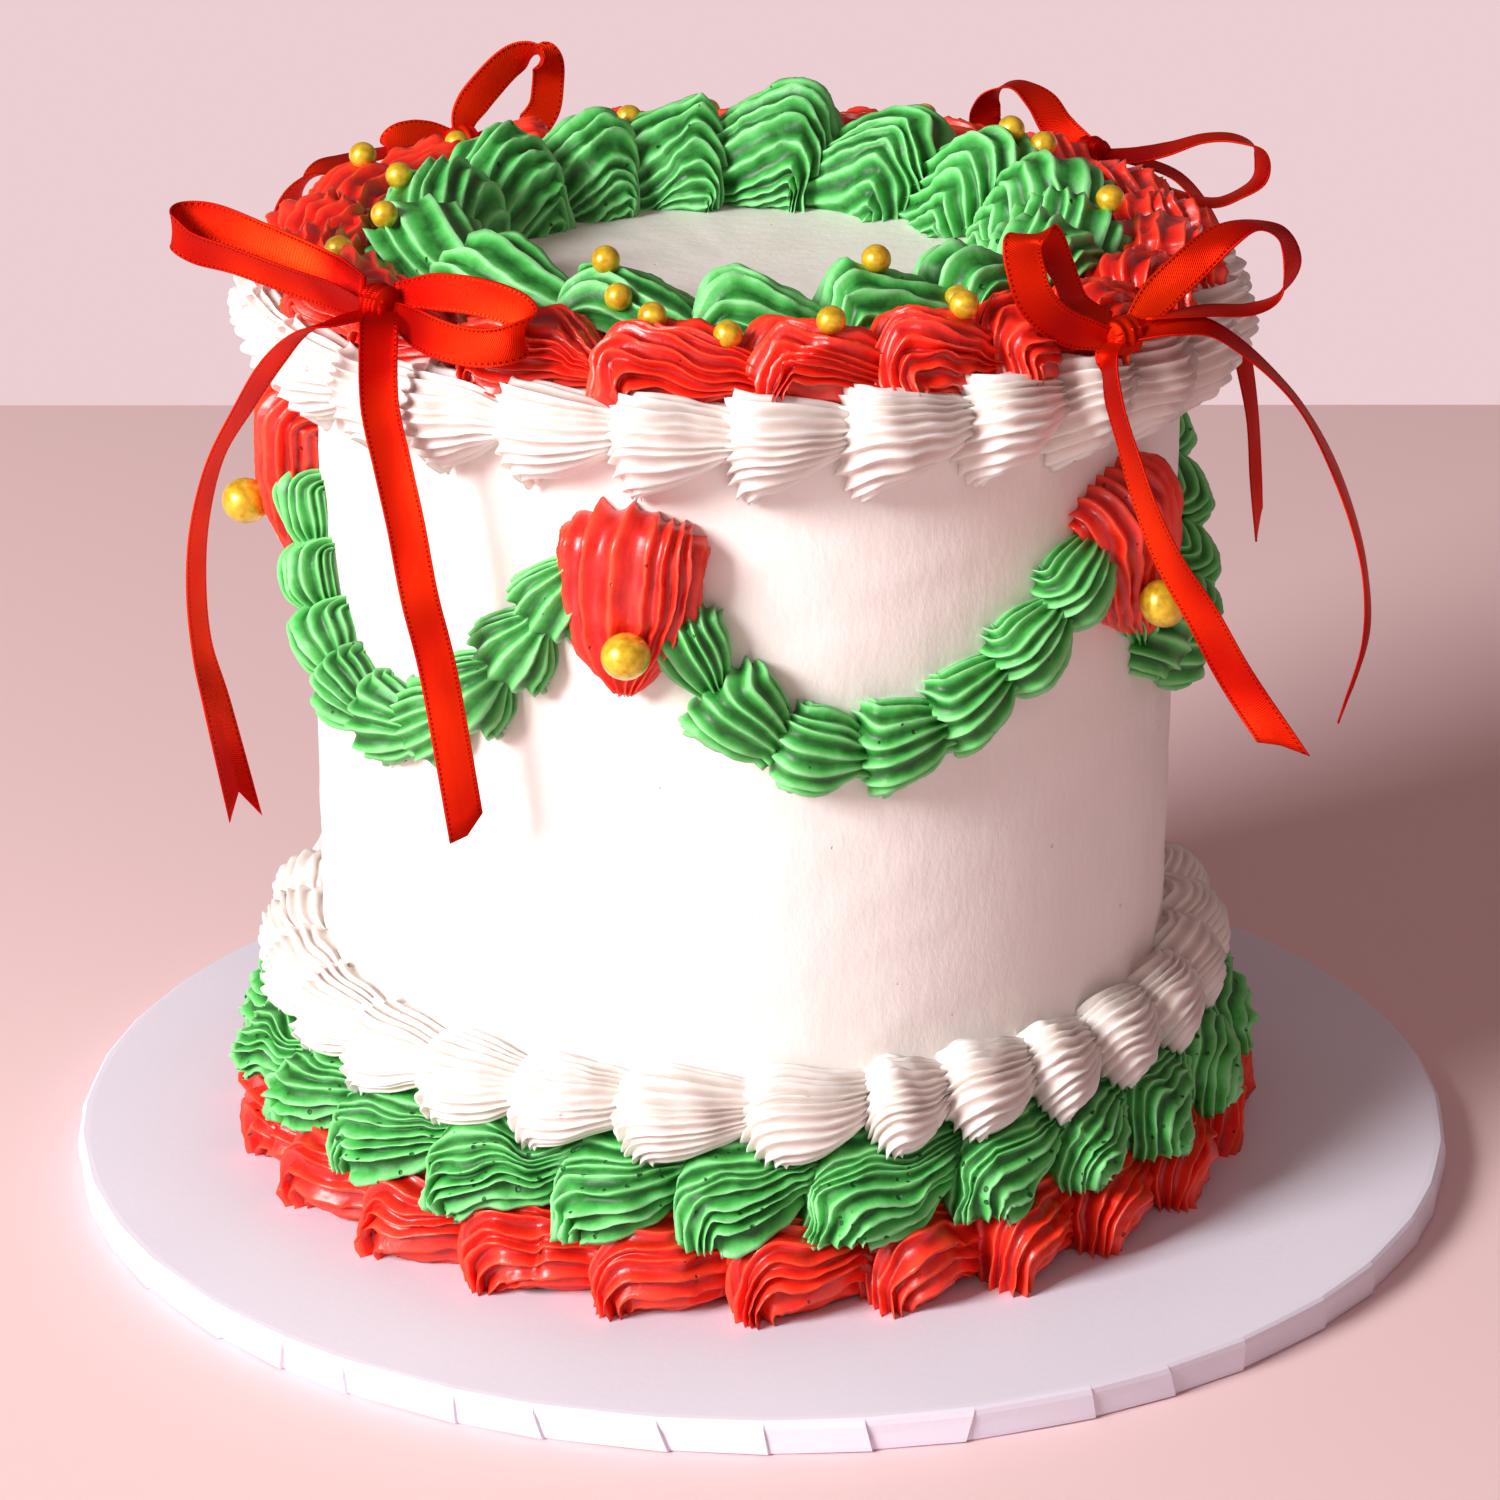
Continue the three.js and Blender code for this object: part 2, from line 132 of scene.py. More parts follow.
def plain_mesh(name, points, faces, values=None, soft=True):
    """A mesh of points in millimetres, with named values at its points."""
    mesh = bpy.data.meshes.new(name)
    mesh.from_pydata((np.asarray(points, float) * MM).tolist(), [], faces)
    for key, numbers in (values or {}).items():
        layer = mesh.attributes.new(key, "FLOAT", "POINT")
        layer.data.foreach_set("value", np.asarray(numbers, np.float32))
    mesh.polygons.foreach_set("use_smooth", [soft] * len(mesh.polygons))
    return mesh


def mesh_piece(name, points, faces, material, **more):
    """A mesh object of one material."""
    mesh = plain_mesh(name, points, faces, **more)
    mesh.materials.append(material)
    return into_scene(name, mesh)


def net(rows, columns):
    """Faces between rows of points, each row closed round."""
    return [(r * columns + c, r * columns + (c + 1) % columns,
             (r + 1) * columns + (c + 1) % columns, (r + 1) * columns + c)
            for r in range(rows - 1) for c in range(columns)]


def dress(piece, slot, *nodes):
    """Rides the piece on the one body and puts it in the place of the nodes."""
    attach(piece, "root")
    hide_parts(*nodes)


paper, tree, output, place = new_material("wrapping_paper")
fibres = bump(tree, noise(tree, place, 900.0, 4.0), 0.12, 0.25)
tint = colour_ramp(tree, noise(tree, place, 14.0, 2.0), (0.3, (0.74, 0.71, 0.83)),
                   (0.7, (0.79, 0.76, 0.87)))
surface(tree, output, {"Base Color": tint, "Roughness": 0.5, "Normal": fibres})

board_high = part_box("cake_board")[1]
BOARD_RADIUS = board_high[0] / MM
BOARD_HEIGHT = board_high[2] / MM
PLEATS = 44
PLEAT_STEPS = 8
CREASE = 0.008  # the first and last points of a pleat stand off this share of it from the crease
FACETED = 0.7  # 1 makes each pleat a straight facet, 0 bends it round the rim
pleat_random = np.random.default_rng(5)
pleat_edges = (np.arange(PLEATS) + pleat_random.uniform(-0.16, 0.16, PLEATS)) * 360 / PLEATS
pleat_lean = pleat_random.uniform(-1.1, 1.1, PLEATS)
pleat_step = pleat_random.uniform(0.3, 0.75, PLEATS)
pleat_sag = pleat_random.uniform(0.05, 0.35, PLEATS)
# From the underside up over the rim: how far in from it, and how high.
rim_line = [(-1.6, 0.0), (-0.5, 0.0), (-0.12, 0.35), (0, 1.2), (0, 3.2), (-0.05, 4.9),
            (-0.35, 5.8), (-1.0, 6.22), (-2.2, 6.3), (-4.5, 6.3)]
top_rings = (114, 100, 80, 50, 20)
columns = []
for i in range(PLEATS):
    start = pleat_edges[i]
    end = pleat_edges[(i + 1) % PLEATS] + (360 if i == PLEATS - 1 else 0)
    lean, lean_on = pleat_lean[i], pleat_lean[(i + 1) % PLEATS]
    half = math.radians(end - start) / 2
    for k in range(PLEAT_STEPS + 1):
        share = min(max(k / PLEAT_STEPS, CREASE), 1 - CREASE)
        facet = 1 + FACETED * (math.cos(half) / math.cos(half * (2 * share - 1)) - 1)
        column = []
        for inset, height in rim_line:
            drop = 1 - height / BOARD_HEIGHT
            turn = start + (end - start) * share + (lean + (lean_on - lean) * share) * drop
            fold = pleat_step[i] * (1 - share) * min(drop * 2.5, 1)
            sag = pleat_sag[i] * share if height < 0.1 else 0
            radius = (BOARD_RADIUS - 0.05 + inset - fold) * (facet if inset > -2 else 1)
            angle = math.radians(turn)
            column.append((radius * math.cos(angle), radius * math.sin(angle), height + sag))
        column += [(r * math.cos(angle), r * math.sin(angle), rim_line[-1][1]) for r in top_rings]
        columns.append(column)
points = np.array(columns).transpose(1, 0, 2).reshape(-1, 3)
around = len(columns)
faces = net(len(columns[0]), around)
faces.append(tuple(range(len(points) - around, len(points))))
faces.append(tuple(reversed(range(around))))
board = mesh_piece("wrapped_board", points, faces, paper, soft=False)
dress(board, "board_paper", "cake_board")


# Cake
# A tall round cake coated in white buttercream and drawn smooth with a scraper. The coat is a
# little uneven, with fine drag marks down the side, and the top edge is softly rounded.
def icing(name, shade, body, light, rough, bleed, pit, grain, scatter=0.12, coat=0.0, drag=1):
    """Buttercream: its colour runs from the shade colour, painted shade in the grooves, through the
    body colour to the light colour, painted light on the crests, with a random cloud over it, air
    pits and grain. pit is (share of cells with a pit, size, depth in mm, darkness of the painted
    shade in the pit), grain is (scale, depth in mm), and drag stretches the grain up and down."""
    material, tree, output, place = new_material(name)
    crest = add_node(tree, "ShaderNodeAttribute", attribute_name="crest").outputs["Fac"]
    cloud = noise(tree, place, 160.0, 5.0, 0.6)
    spread = calc(tree, "MULTIPLY_ADD", calc(tree, "ADD", cloud, -0.5), 0.9, crest)
    # Painted shade and painted light: a groove (crest 0) gets the shade colour and a crest (crest
    # 1) the light colour, shifted by a random cloud.
    tint = colour_ramp(tree, spread, (0.0, shade), (1.0, light), (0.45, body))
    share, size, depth, pit_shade_darkness = pit
    cells = add_node(tree, "ShaderNodeTexVoronoi",
                     {"Vector": place, "Scale": 1000.0 / 1.9, "Randomness": 1.0})
    chance = add_node(tree, "ShaderNodeSeparateColor", {"Color": cells.outputs["Color"]})
    radius = add_node(tree, "ShaderNodeMapRange",
                      {"Value": chance.outputs[0], "From Min": 1 - share, "From Max": 1.0,
                       "To Min": 0.0001, "To Max": size})
    within = calc(tree, "DIVIDE", cells.outputs["Distance"], radius.outputs[0])
    hole = add_node(tree, "ShaderNodeMapRange", {"Value": within, "From Min": 0.55,
                                                 "From Max": 1.0},
                    interpolation_type="SMOOTHSTEP").outputs[0]
    stretched = add_node(tree, "ShaderNodeMapping", {"Vector": place, "Scale": (1, 1, drag)})
    fine = noise(tree, stretched.outputs[0], grain[0], 4.0, 0.62)
    relief = bump(tree, fine, grain[1], Normal=bump(tree, hole, depth))
    # Painted shade in the air pits: each pit is filled with the shade colour, darkened by the pit's
    # darkness.
    pit_shaded_colour = add_node(tree, "ShaderNodeMix",
                     {0: hole, 6: (*(c * pit_shade_darkness for c in shade), 1), 7: tint}, data_type="RGBA")
    wet = add_node(tree, "ShaderNodeMapRange",
                   {"Value": cloud, "From Min": 0.3, "From Max": 0.7,
                    "To Min": rough - 0.1, "To Max": rough + 0.12})
    surface(tree, output,
            {"Base Color": pit_shaded_colour.outputs[2], "Roughness": wet.outputs[0],
             "Normal": relief, "Coat Weight": coat, "Coat Roughness": 0.2,
             "Subsurface Weight": scatter, "Subsurface Radius": bleed,
             "Subsurface Scale": 4 * MM})
    return material


smooth_icing = icing("smooth_white_icing", (0.83, 0.77, 0.74), (0.87, 0.83, 0.80),
                     (0.87, 0.84, 0.82), rough=0.5, bleed=(1.0, 0.5, 0.35),
                     pit=(0.015, 0.3, 0.2, 0.9), grain=(330.0, 0.16), drag=0.5)
cake_low, cake_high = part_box("cake")
AXIS = (cake_low[0] + cake_high[0]) / 2 / MM
CAKE_RADIUS = (cake_high[0] - cake_low[0]) / 2 / MM
CAKE_TOP = cake_high[2] / MM
CAKE_FOOT = cake_low[2] / MM
EDGE = 3.2  # rounding of the top edge
AROUND = 200
SIDE_ROWS = 74


def unevenness(points, seed, size, amount):
    """A smooth random shift for each point, in waves of about the given size."""
    random = np.random.default_rng(seed)
    shift = np.zeros_like(points)
    for octave in (1.0, 0.45):
        for _ in range(4):
            way = random.normal(size=3)
            way *= 2 * math.pi / (size * octave) / np.linalg.norm(way)
            wave = np.sin(points @ way + random.uniform(0, 2 * math.pi))
            shift += wave[:, None] * random.normal(size=3) * octave
    return shift * amount / 2.4  # the waves add up to about 2.4


profile = [(CAKE_RADIUS, z) for z in np.linspace(CAKE_FOOT, CAKE_TOP - EDGE, SIDE_ROWS)]
profile += [(CAKE_RADIUS - EDGE * (1 - math.cos(a)), CAKE_TOP - EDGE * (1 - math.sin(a)))
            for a in np.linspace(0.2, math.pi / 2, 7)]
profile += [(r, CAKE_TOP) for r in (70, 62, 54, 46, 38, 30, 22, 14, 7, 3)]
turns = np.arange(AROUND) * 2 * math.pi / AROUND
rows = np.array(profile)
grid = np.stack([np.outer(rows[:, 0], np.cos(turns)), np.outer(rows[:, 0], np.sin(turns)),
                 np.repeat(rows[:, 1:], AROUND, axis=1)], axis=-1).reshape(-1, 3)
# Broad waves and finer ones, which run round the side more than up it and only go inwards.
inward = -np.abs(unevenness(grid * (1, 1, 2.2), 3, 60.0, 0.35)
                 + unevenness(grid * (1, 1, 1.6), 4, 17.0, 0.12))
outward = grid * (1, 1, 0) / np.maximum(np.hypot(grid[:, 0], grid[:, 1]), 1)[:, None]
on_top = grid[:, 2] > CAKE_TOP - 0.5
grid += outward * inward[:, :1] * ~on_top[:, None]
grid[:, 2] += inward[:, 2] * on_top
points = np.vstack([grid, [(0, 0, CAKE_TOP), (0, 0, CAKE_FOOT)]]) + (AXIS, 0, 0)
middle_top, middle_foot = len(grid), len(grid) + 1
faces = net(len(rows), AROUND)
top = len(grid) - AROUND
for a in range(AROUND):
    faces.append((top + a, top + (a + 1) % AROUND, middle_top))
    faces.append(((a + 1) % AROUND, a, middle_foot))
cake = mesh_piece("iced_cake", points, faces, smooth_icing,
                  values={"crest": np.full(len(points), 0.5)})
dress(cake, "white_icing", "cake")


# Bottom red border
# A row of shells piped with a star tip along the foot of the cake. Each shell swells at its head,
# is drawn out to a tail, and the next head covers the tail. The tip leaves ridges that curl over
# the head and end in teeth.
HEAD_SHARE = 0.4  # of the way from one head to the next, this much is head and the rest is tail
# The line over one ridge, as (share of its width, height): leaning over, and upright.
LEANING = ((0.0, 1.0), (0.1, 0.78), (0.27, 0.4), (0.48, 0.12), (0.68, 0.0), (0.84, 0.1),
           (0.94, 0.55))
EVEN = ((0.0, 1.0), (0.11, 0.66), (0.27, 0.2), (0.5, 0.0), (0.73, 0.2), (0.89, 0.66))


def along(rows, share):
    """Points of the smooth line through the rows, at shares of its way from 0 to 1."""
    rows = np.vstack([2 * rows[0] - rows[1], rows, 2 * rows[-1] - rows[-2]])
    at = np.clip(share, 0, 1) * (len(rows) - 3)
    k = np.minimum(at.astype(int), len(rows) - 4)
    t = (at - k)[:, None]
    a, b, c, d = rows[k], rows[k + 1], rows[k + 2], rows[k + 3]
    return 0.5 * (2 * b + (c - a) * t + (2 * a - 5 * b + 4 * c - d) * t ** 2
                  + (3 * b - a - 3 * c + d) * t ** 3)


def face_outwards(mesh, weld=None, mirrored=False):
    """Turns all faces outwards, or inwards on a mesh that is going to be mirrored."""
    body = bmesh.new()
    body.from_mesh(mesh)
    if weld:
        bmesh.ops.remove_doubles(body, verts=body.verts, dist=weld * MM)
    bmesh.ops.recalc_face_normals(body, faces=body.faces)
    if mirrored:
        bmesh.ops.reverse_faces(body, faces=body.faces)
    body.to_mesh(mesh)
    body.free()


def piped_shell(name, outline, pivot, lie, pitch, ridges, depth, seed, profile=LEANING, tall=None,
                fan=0.0, spill=0.0, legs=0.0, twist=0.0, bold=(1, 1), head_rows=14, tail_rows=20,
                uneven=0.5, tail_power=1.6, head_share=HEAD_SHARE, foot=0.8, torn=0.12, toothed=1.0,
                overlap=1.22, crown=0.0):
    """One shell, laid out straight: x runs from head to tail, y outwards and z up.
    outline rows are [out, up] at the head, then at the tail. The head is the outline turned down
    about a line through pivot in the direction lie, as the tip is swung over. It starts from a
    narrower foot, swells a little past its size and settles. bold is the strength of the ridges
    across the shell, twist sweeps them sideways, spill runs them off the edges of the tail, fan
    spreads the head, legs carry its foot on down, and crown lifts its upper teeth."""
    random = np.random.default_rng(seed)
    head = np.array([row[:2] for row in outline], float)
    tail = np.array([row[2:] if len(row) > 2 else row for row in outline], float)
    back = pitch * head_share
    reach = pitch * (overlap - head_share)
    lie = np.array(lie, float) / np.hypot(*lie)
    pivot = np.array(pivot, float)
    centre = head.mean(axis=0)
    rise = np.array([-lie[1], lie[0]])
    rise *= np.sign(rise @ (centre - pivot))
    middle = (centre - pivot) @ lie

    # The ridges: where their points lie across the shell, how high, and how each one varies.
    widths = 1 + random.uniform(-0.42, 0.42, ridges)
    edges = np.concatenate([[0], np.cumsum(widths)]) / widths.sum()
    share, crest, number = [], [], []
    for k in range(ridges):
        for step, height in profile:
            share.append(edges[k] + (edges[k + 1] - edges[k]) * step)
            crest.append(height)
            number.append(k if step < 0.5 else k + 1)
    share, crest = np.array(share + [1]), np.array(crest + [1.0])
    number = np.array(number + [ridges])
    strength = random.uniform(0.6, 1.25, ridges + 1)[number]
    tooth = random.uniform(0.0, 1.0, ridges + 1)[number]
    sway = random.uniform(0, 2 * math.pi, (3, ridges + 1))[:, number]
    ends = np.clip(np.minimum(share, 1 - share) * 9, 0.25, 1)
    ends = ends * np.interp(share, np.linspace(0, 1, len(bold)), bold)
    highest = tall or ((head - pivot) @ rise).max()

    def section(fallen, slide, amount):
        """The outline this far fallen from head to tail, bare and then with its ridges."""
        def outline_at(line):
            return along(head, line) * (1 - fallen) + along(tail, line) * fallen

        line = np.clip(slide, 0, 1)
        shape = outline_at(line)
        run = outline_at(line + 0.004) - outline_at(line - 0.004)
        outward = np.stack([run[:, 1], -run[:, 0]], axis=1)
        outward /= np.maximum(np.linalg.norm(outward, axis=1), 1e-6)[:, None]
        outward *= np.sign(((shape - centre) * outward).sum())
        kept = ((slide >= 0) & (slide <= 1)).astype(float)
        return shape, shape + outward * ((crest - 0.55) * amount * kept)[:, None]

    # Rows of points from the foot over the head to the tail: turn is the swing of the tip, step
    # the way along the tail, and leg how far a row goes on down below the foot.
    under = 0.12
    turns = np.linspace(-under, math.pi / 2, head_rows)
    rows = [(-under, 0.0, 1 - k / 3) for k in range(3 if legs else 0)]
    rows += [(turn, 0.0, 0.0) for turn in turns]
    rows += [(math.pi / 2, step, 0.0) for step in np.linspace(0, 1, tail_rows + 1)[1:]]
    sheet = []
    for turn, step, leg in rows:
        low = 1 - math.sin(max(turn, 0))
        way = back * turn + reach * step
        grown = min(max((turn + under) / 1.25, 0), 1)
        settled = max(turn - 1.13, 0) / 0.44
        swell = foot + (1.03 - foot) * math.sin(grown * math.pi / 2) - 0.03 * settled
        amount = depth * strength * ends * (1 + 0.4 * low) * (1 - 0.3 * step)
        amount = amount * (1 + 0.16 * np.sin(sway[0] + way * 0.7)
                           + torn * np.sin(sway[1] + way * 2.3) * np.sin(sway[2] + way * 1.1))
        slide = 0.5 + (share - 0.5) * (1 + spill * step ** 1.2)
        slide = slide + twist * (step - 0.3 * low) * np.minimum(share, 1 - share) * 2
        fallen = min((step * reach / (pitch * (1 - head_share))) ** tail_power, 1.35)
        shape, ridged = section(fallen, slide, amount)
        base = (shape - pivot) @ rise
        tip = (ridged - pivot) @ rise
        across = (ridged - pivot) @ lie
        across = middle + (across - middle) * (1 + fan * (low - 0.65 - 0.3 * step))
        if step == 0:
            base, tip = base * swell, np.where(tip > 0, tip * swell, tip)
            across = middle + (across - middle) * (0.35 + 0.65 * swell)
        height = np.where(tip > 0, tip * math.sin(turn), tip)
        if leg:
            height = np.minimum(height, -legs * leg)
        x = np.full(len(share), reach * step)
        if step == 0:
            bulk = back / highest * np.maximum(base, 0)
            teeth = (tip - base) * (0.5 + 0.6 * toothed)
            teeth = teeth + tooth * crest * depth * 0.5 * toothed * low ** 3
            x = -(bulk + teeth * np.clip(base / highest * 3, 0, 1)) * math.cos(turn)
            if leg:
                x = x - (crest - 0.3) * depth * 0.3 * leg
        place = pivot + across[:, None] * lie + height[:, None] * rise
        place[:, 1] += crown * low * crest * np.clip((share - 0.62) / 0.2, 0, 1)
        sheet.append(np.column_stack([x, place]))
    width, count = len(share), len(sheet)
    points = np.vstack(sheet)
    points += (unevenness(points, seed + 70, 16.0, uneven)
               + unevenness(points, seed + 90, 5.0, uneven * 0.2))
    faces = net(count, width) + [tuple(range(width))]
    faces.append(tuple((count - 1) * width + c for c in reversed(range(width))))
    # The crest value at each point also sets how much painted shade or painted light the icing's
    # colour gets there.
    mesh = plain_mesh(name, points, faces, {"crest": np.tile(crest, count)})
    # Bending the row round the cake mirrors the shell.
    face_outwards(mesh, weld=0.02, mirrored=True)
    return mesh


def new_tree(name, *inputs):
    """An empty Geometry Nodes tree with inputs, each (label, kind), and one output."""
    tree = bpy.data.node_groups.new(name, "GeometryNodeTree")
    for label, kind in (("Geometry", "Geometry"), *inputs):
        tree.interface.new_socket(label, in_out="INPUT", socket_type="NodeSocket" + kind)
    tree.interface.new_socket("Geometry", in_out="OUTPUT", socket_type="NodeSocketGeometry")
    return tree, add_node(tree, "NodeGroupInput").outputs


def coated(tree, geometry, material):
    """Ends the tree: the geometry is given its material and let out."""
    coat = add_node(tree, "GeometryNodeSetMaterial", {"Geometry": geometry, "Material": material})
    output = add_node(tree, "NodeGroupOutput")
    tree.links.new(coat.outputs[0], output.inputs[0])
    return tree


def wrapping_tree():
    """Geometry Nodes that set a shell at each point of a row laid out straight, and bend the row
    round the cake's axis."""
    tree, given = new_tree("pipe_round_the_cake", ("Shells", "Collection"),
                           ("Bend Radius", "Float"), ("Axis", "Float"), ("Icing", "Material"))
    shells = add_node(tree, "GeometryNodeCollectionInfo",
                      {"Collection": given["Shells"], "Separate Children": True,
                       "Reset Children": True})

    def value(label, kind):
        return [o for o in add_node(tree, "GeometryNodeInputNamedAttribute", {"Name": label},
                                    data_type=kind).outputs if o.enabled][0]

    piped = add_node(tree, "GeometryNodeInstanceOnPoints",
                     {"Points": given["Geometry"], "Instance": shells.outputs[0],
                      "Pick Instance": True, "Instance Index": value("shell", "INT"),
                      "Rotation": value("turn", "FLOAT_VECTOR"),
                      "Scale": value("stretch", "FLOAT_VECTOR")})
    joined = add_node(tree, "GeometryNodeRealizeInstances", {"Geometry": piped.outputs[0]})
    where = add_node(tree, "GeometryNodeInputPosition")
    straight = add_node(tree, "ShaderNodeSeparateXYZ", {"Vector": where.outputs[0]}).outputs
    angle = calc(tree, "DIVIDE", straight["X"], given["Bend Radius"])
    x = calc(tree, "MULTIPLY_ADD", straight["Y"], calc(tree, "COSINE", angle), given["Axis"])
    y = calc(tree, "MULTIPLY", straight["Y"], calc(tree, "SINE", angle))
    bent = add_node(tree, "ShaderNodeCombineXYZ", {"X": x, "Y": y, "Z": straight["Z"]})
    moved = add_node(tree, "GeometryNodeSetPosition",
                     {"Geometry": joined.outputs[0], "Position": bent.outputs[0]})
    return coated(tree, moved.outputs[0], given["Icing"])


PIPE_ROUND = wrapping_tree()


def run_tree(name, start, tree, **values):
    """The plain mesh piece that a tree makes of a start mesh. The tree's inputs are set by their
    sockets' identifiers."""
    piece = into_scene(name, start)
    modifier = piece.modifiers.new("piping", "NODES")
    modifier.node_group = tree
    for item in tree.interface.items_tree:
        label = item.name.replace(" ", "_")
        if item.item_type == "SOCKET" and item.in_out == "INPUT" and label in values:
            modifier[item.identifier] = values[label]
    graph = bpy.context.evaluated_depsgraph_get()
    mesh = bpy.data.meshes.new_from_object(piece.evaluated_get(graph))
    mesh.name = name
    bpy.data.objects.remove(piece)
    return into_scene(name, mesh)


def pipe_row(name, shells, spots, bend, material):
    """Pipes a row of shells. spots are (angle, out, up, lean, (length, out, up scale), shell)."""
    kinds = bpy.data.collections.new(name + "_kinds")
    for k, mesh in enumerate(shells):
        kinds.objects.link(bpy.data.objects.new(f"{name}_{k:02d}", mesh))
    row = plain_mesh(name, [(math.radians(s[0]) * bend, s[1], s[2]) for s in spots], [])
    for label, kind, field, values in (
            ("turn", "FLOAT_VECTOR", "vector", [(0, -math.radians(s[3]), 0) for s in spots]),
            ("stretch", "FLOAT_VECTOR", "vector", [s[4] for s in spots]),
            ("shell", "INT", "value", [s[5] for s in spots])):
        row.attributes.new(label, kind, "POINT").data.foreach_set(field, np.ravel(values))
    piece = run_tree(name, row, PIPE_ROUND, Shells=kinds, Bend_Radius=bend * MM, Axis=AXIS * MM,
                     Icing=material)
    for leftover in list(kinds.objects):
        bpy.data.objects.remove(leftover)
    bpy.data.collections.remove(kinds)
    return piece


def all_heads(seen, total):
    """The heads' angles: those in sight, then the rest spread evenly round the back."""
    missing = total - len(seen)
    step = (seen[0] + 360 - seen[-1]) / (missing + 1)
    return list(seen) + [seen[-1] + step * i for i in range(1, missing + 1)]


def border(name, heads, bend, kinds, material, seed, lifts=(0,), **shape):
    """A closed ring of shells of some kinds, bent round at a radius. Each is stretched from its own
    head to the next one."""
    random = np.random.default_rng(seed)
    usual = math.radians(360 / len(heads)) * bend
    shells = [piped_shell(f"{name}_{k}", pitch=usual, seed=seed * 10 + k, **shape)
              for k in range(kinds)]
    spots = []
    for i, angle in enumerate(heads):
        gap = (heads[(i + 1) % len(heads)] - angle) % 360
        length = math.radians(gap) * bend / usual
        out = random.uniform(-0.35, 0.35)
        up = lifts[i % len(lifts)] + random.uniform(-0.35, 0.35) * 0.6
        spots.append((angle + gap * HEAD_SHARE, out, up, 0, (length, 1, 1), i % kinds))
    return pipe_row(name, shells, spots, bend, material)


# Its three colours: painted shade in the grooves, the red itself, and painted light on the crests.
red_icing = icing("red_icing", (0.46, 0.005, 0.002), (0.84, 0.018, 0.007), (0.94, 0.062, 0.022),
                  rough=0.36, bleed=(1.0, 0.12, 0.06), pit=(0.10, 0.3, 0.3, 0.5),
                  grain=(900.0, 0.10), coat=0.22)
foot_red = border(
    "bottom_red_shells", all_heads([237, 253, 268, 284, 298, 311], 24), bend=90, kinds=7,
    material=red_icing, seed=11,
    outline=[[88.2, 6.4, 82.6, 6.4], [92.6, 10.6, 86, 9.8], [93.6, 16.6, 86.8, 14.4],
             [90.4, 21.2, 84.6, 19.0], [84, 24, 82, 22.4], [78.2, 25.8]],
    pivot=(89.4, 6.2), lie=(1, 0), tall=14.5, ridges=11, depth=1.8, twist=0.08,
    bold=(1, 1.15, 1.1, 0.7, 0.35, 0.3), foot=0.74, uneven=0.9)
dress(foot_red, "red_icing", "bottom_red_border")


# Bottom green border
# The second row, piped over the red one with the same tip. Its icing is stiffer and full of
# small air holes, and its heads hang a little over the red shells.
# The painted shade in the grooves, the green itself, and the painted light on the crests.
GREENS = ((0.004, 0.10, 0.009), (0.058, 0.44, 0.07), (0.27, 0.71, 0.29))
green_icing = icing("green_icing", *GREENS, rough=0.5, scatter=0.1, bleed=(0.35, 1.0, 0.4),
                    pit=(0.07, 0.3, 0.5, 0.8), grain=(1100.0, 0.09), coat=0.05)
airy_icing = icing("airy_green_icing", *GREENS, rough=0.55, scatter=0.1, bleed=(0.35, 1.0, 0.4),
                   pit=(0.4, 0.36, 0.6, 1.0), grain=(1100.0, 0.12))
foot_green = border(
    "bottom_green_shells", all_heads([231, 247, 262, 276, 294, 308, 320], 24), bend=88, kinds=7,
    material=airy_icing, seed=21,
    outline=[[87.0, 22.0, 81, 25.0], [92.2, 20.2, 84.8, 24.4], [93.0, 26.5, 86.4, 28.0],
             [90.4, 31.6, 85.6, 31.2], [85.4, 34, 83.0, 33.4], [77.8, 37.2]],
    pivot=(90, 20.4), lie=(1, 0), tall=13, ridges=12, depth=1.9, twist=0.08,
    bold=(1, 1.2, 1.1, 0.5, 0.14, 0.08), foot=0.76, torn=0.26, uneven=0.9)
dress(foot_green, "green_icing", "bottom_green_border")


# Bottom white border
# The third row of shells, of buttercream left white. They are piped with a finer tip into the
# corner between the green row and the side of the cake.
# Its three colours: painted shade in the grooves, the white itself, and painted light on the
# crests.
white_icing = icing("piped_white_icing", (0.66, 0.56, 0.51), (0.82, 0.77, 0.73),
                    (0.87, 0.85, 0.83), rough=0.48, bleed=(1.0, 0.55, 0.4),
                    pit=(0.02, 0.35, 0.2, 0.9), grain=(800.0, 0.05))
foot_white = border(
    "bottom_white_shells", all_heads([228, 241, 254, 269, 284, 294, 306, 317], 28), bend=86,
    kinds=7, material=white_icing, seed=31,
    outline=[[87.6, 33.2, 82.6, 36.4], [89.8, 37.4, 84.6, 38.8], [88.8, 42.6, 84.0, 42.0],
             [85.6, 46.9, 82.0, 44.8], [80.4, 49.0, 78.6, 46.8], [72.6, 47.2, 72.6, 45.4]],
    pivot=(86.8, 33.2), lie=(-0.77, 0.64), ridges=13, depth=1.35, fan=0.15, profile=EVEN,
    foot=0.84, torn=0.04, toothed=0.4, uneven=0.35)
dress(foot_white, "white_icing", "bottom_white_border")


# Top white border
# White shells round the top edge, half over the side. Their heads fan out, so their teeth stand
# up like a small crown.
edge_white = border(
    "top_white_shells", all_heads([229, 240, 254, 267, 280, 295, 308, 320], 28), bend=86, kinds=7,
    material=white_icing, seed=41,
    outline=[[76.0, 150.6, 74.0, 155], [83.0, 150.2, 78.8, 155.0], [88.0, 154.0, 83.4, 156.6],
             [89.9, 160, 85.4, 160.0], [88.6, 165.2, 84.6, 163.6], [84.6, 169.0, 81.6, 166.2],
             [74, 166.4]],
    pivot=(78, 151.5), lie=(-0.38, 0.92), ridges=15, depth=1.4, fan=0.2, profile=EVEN,
    foot=0.86, torn=0.05, toothed=0.6, uneven=0.35, crown=1.6)
dress(edge_white, "white_icing", "top_white_border")


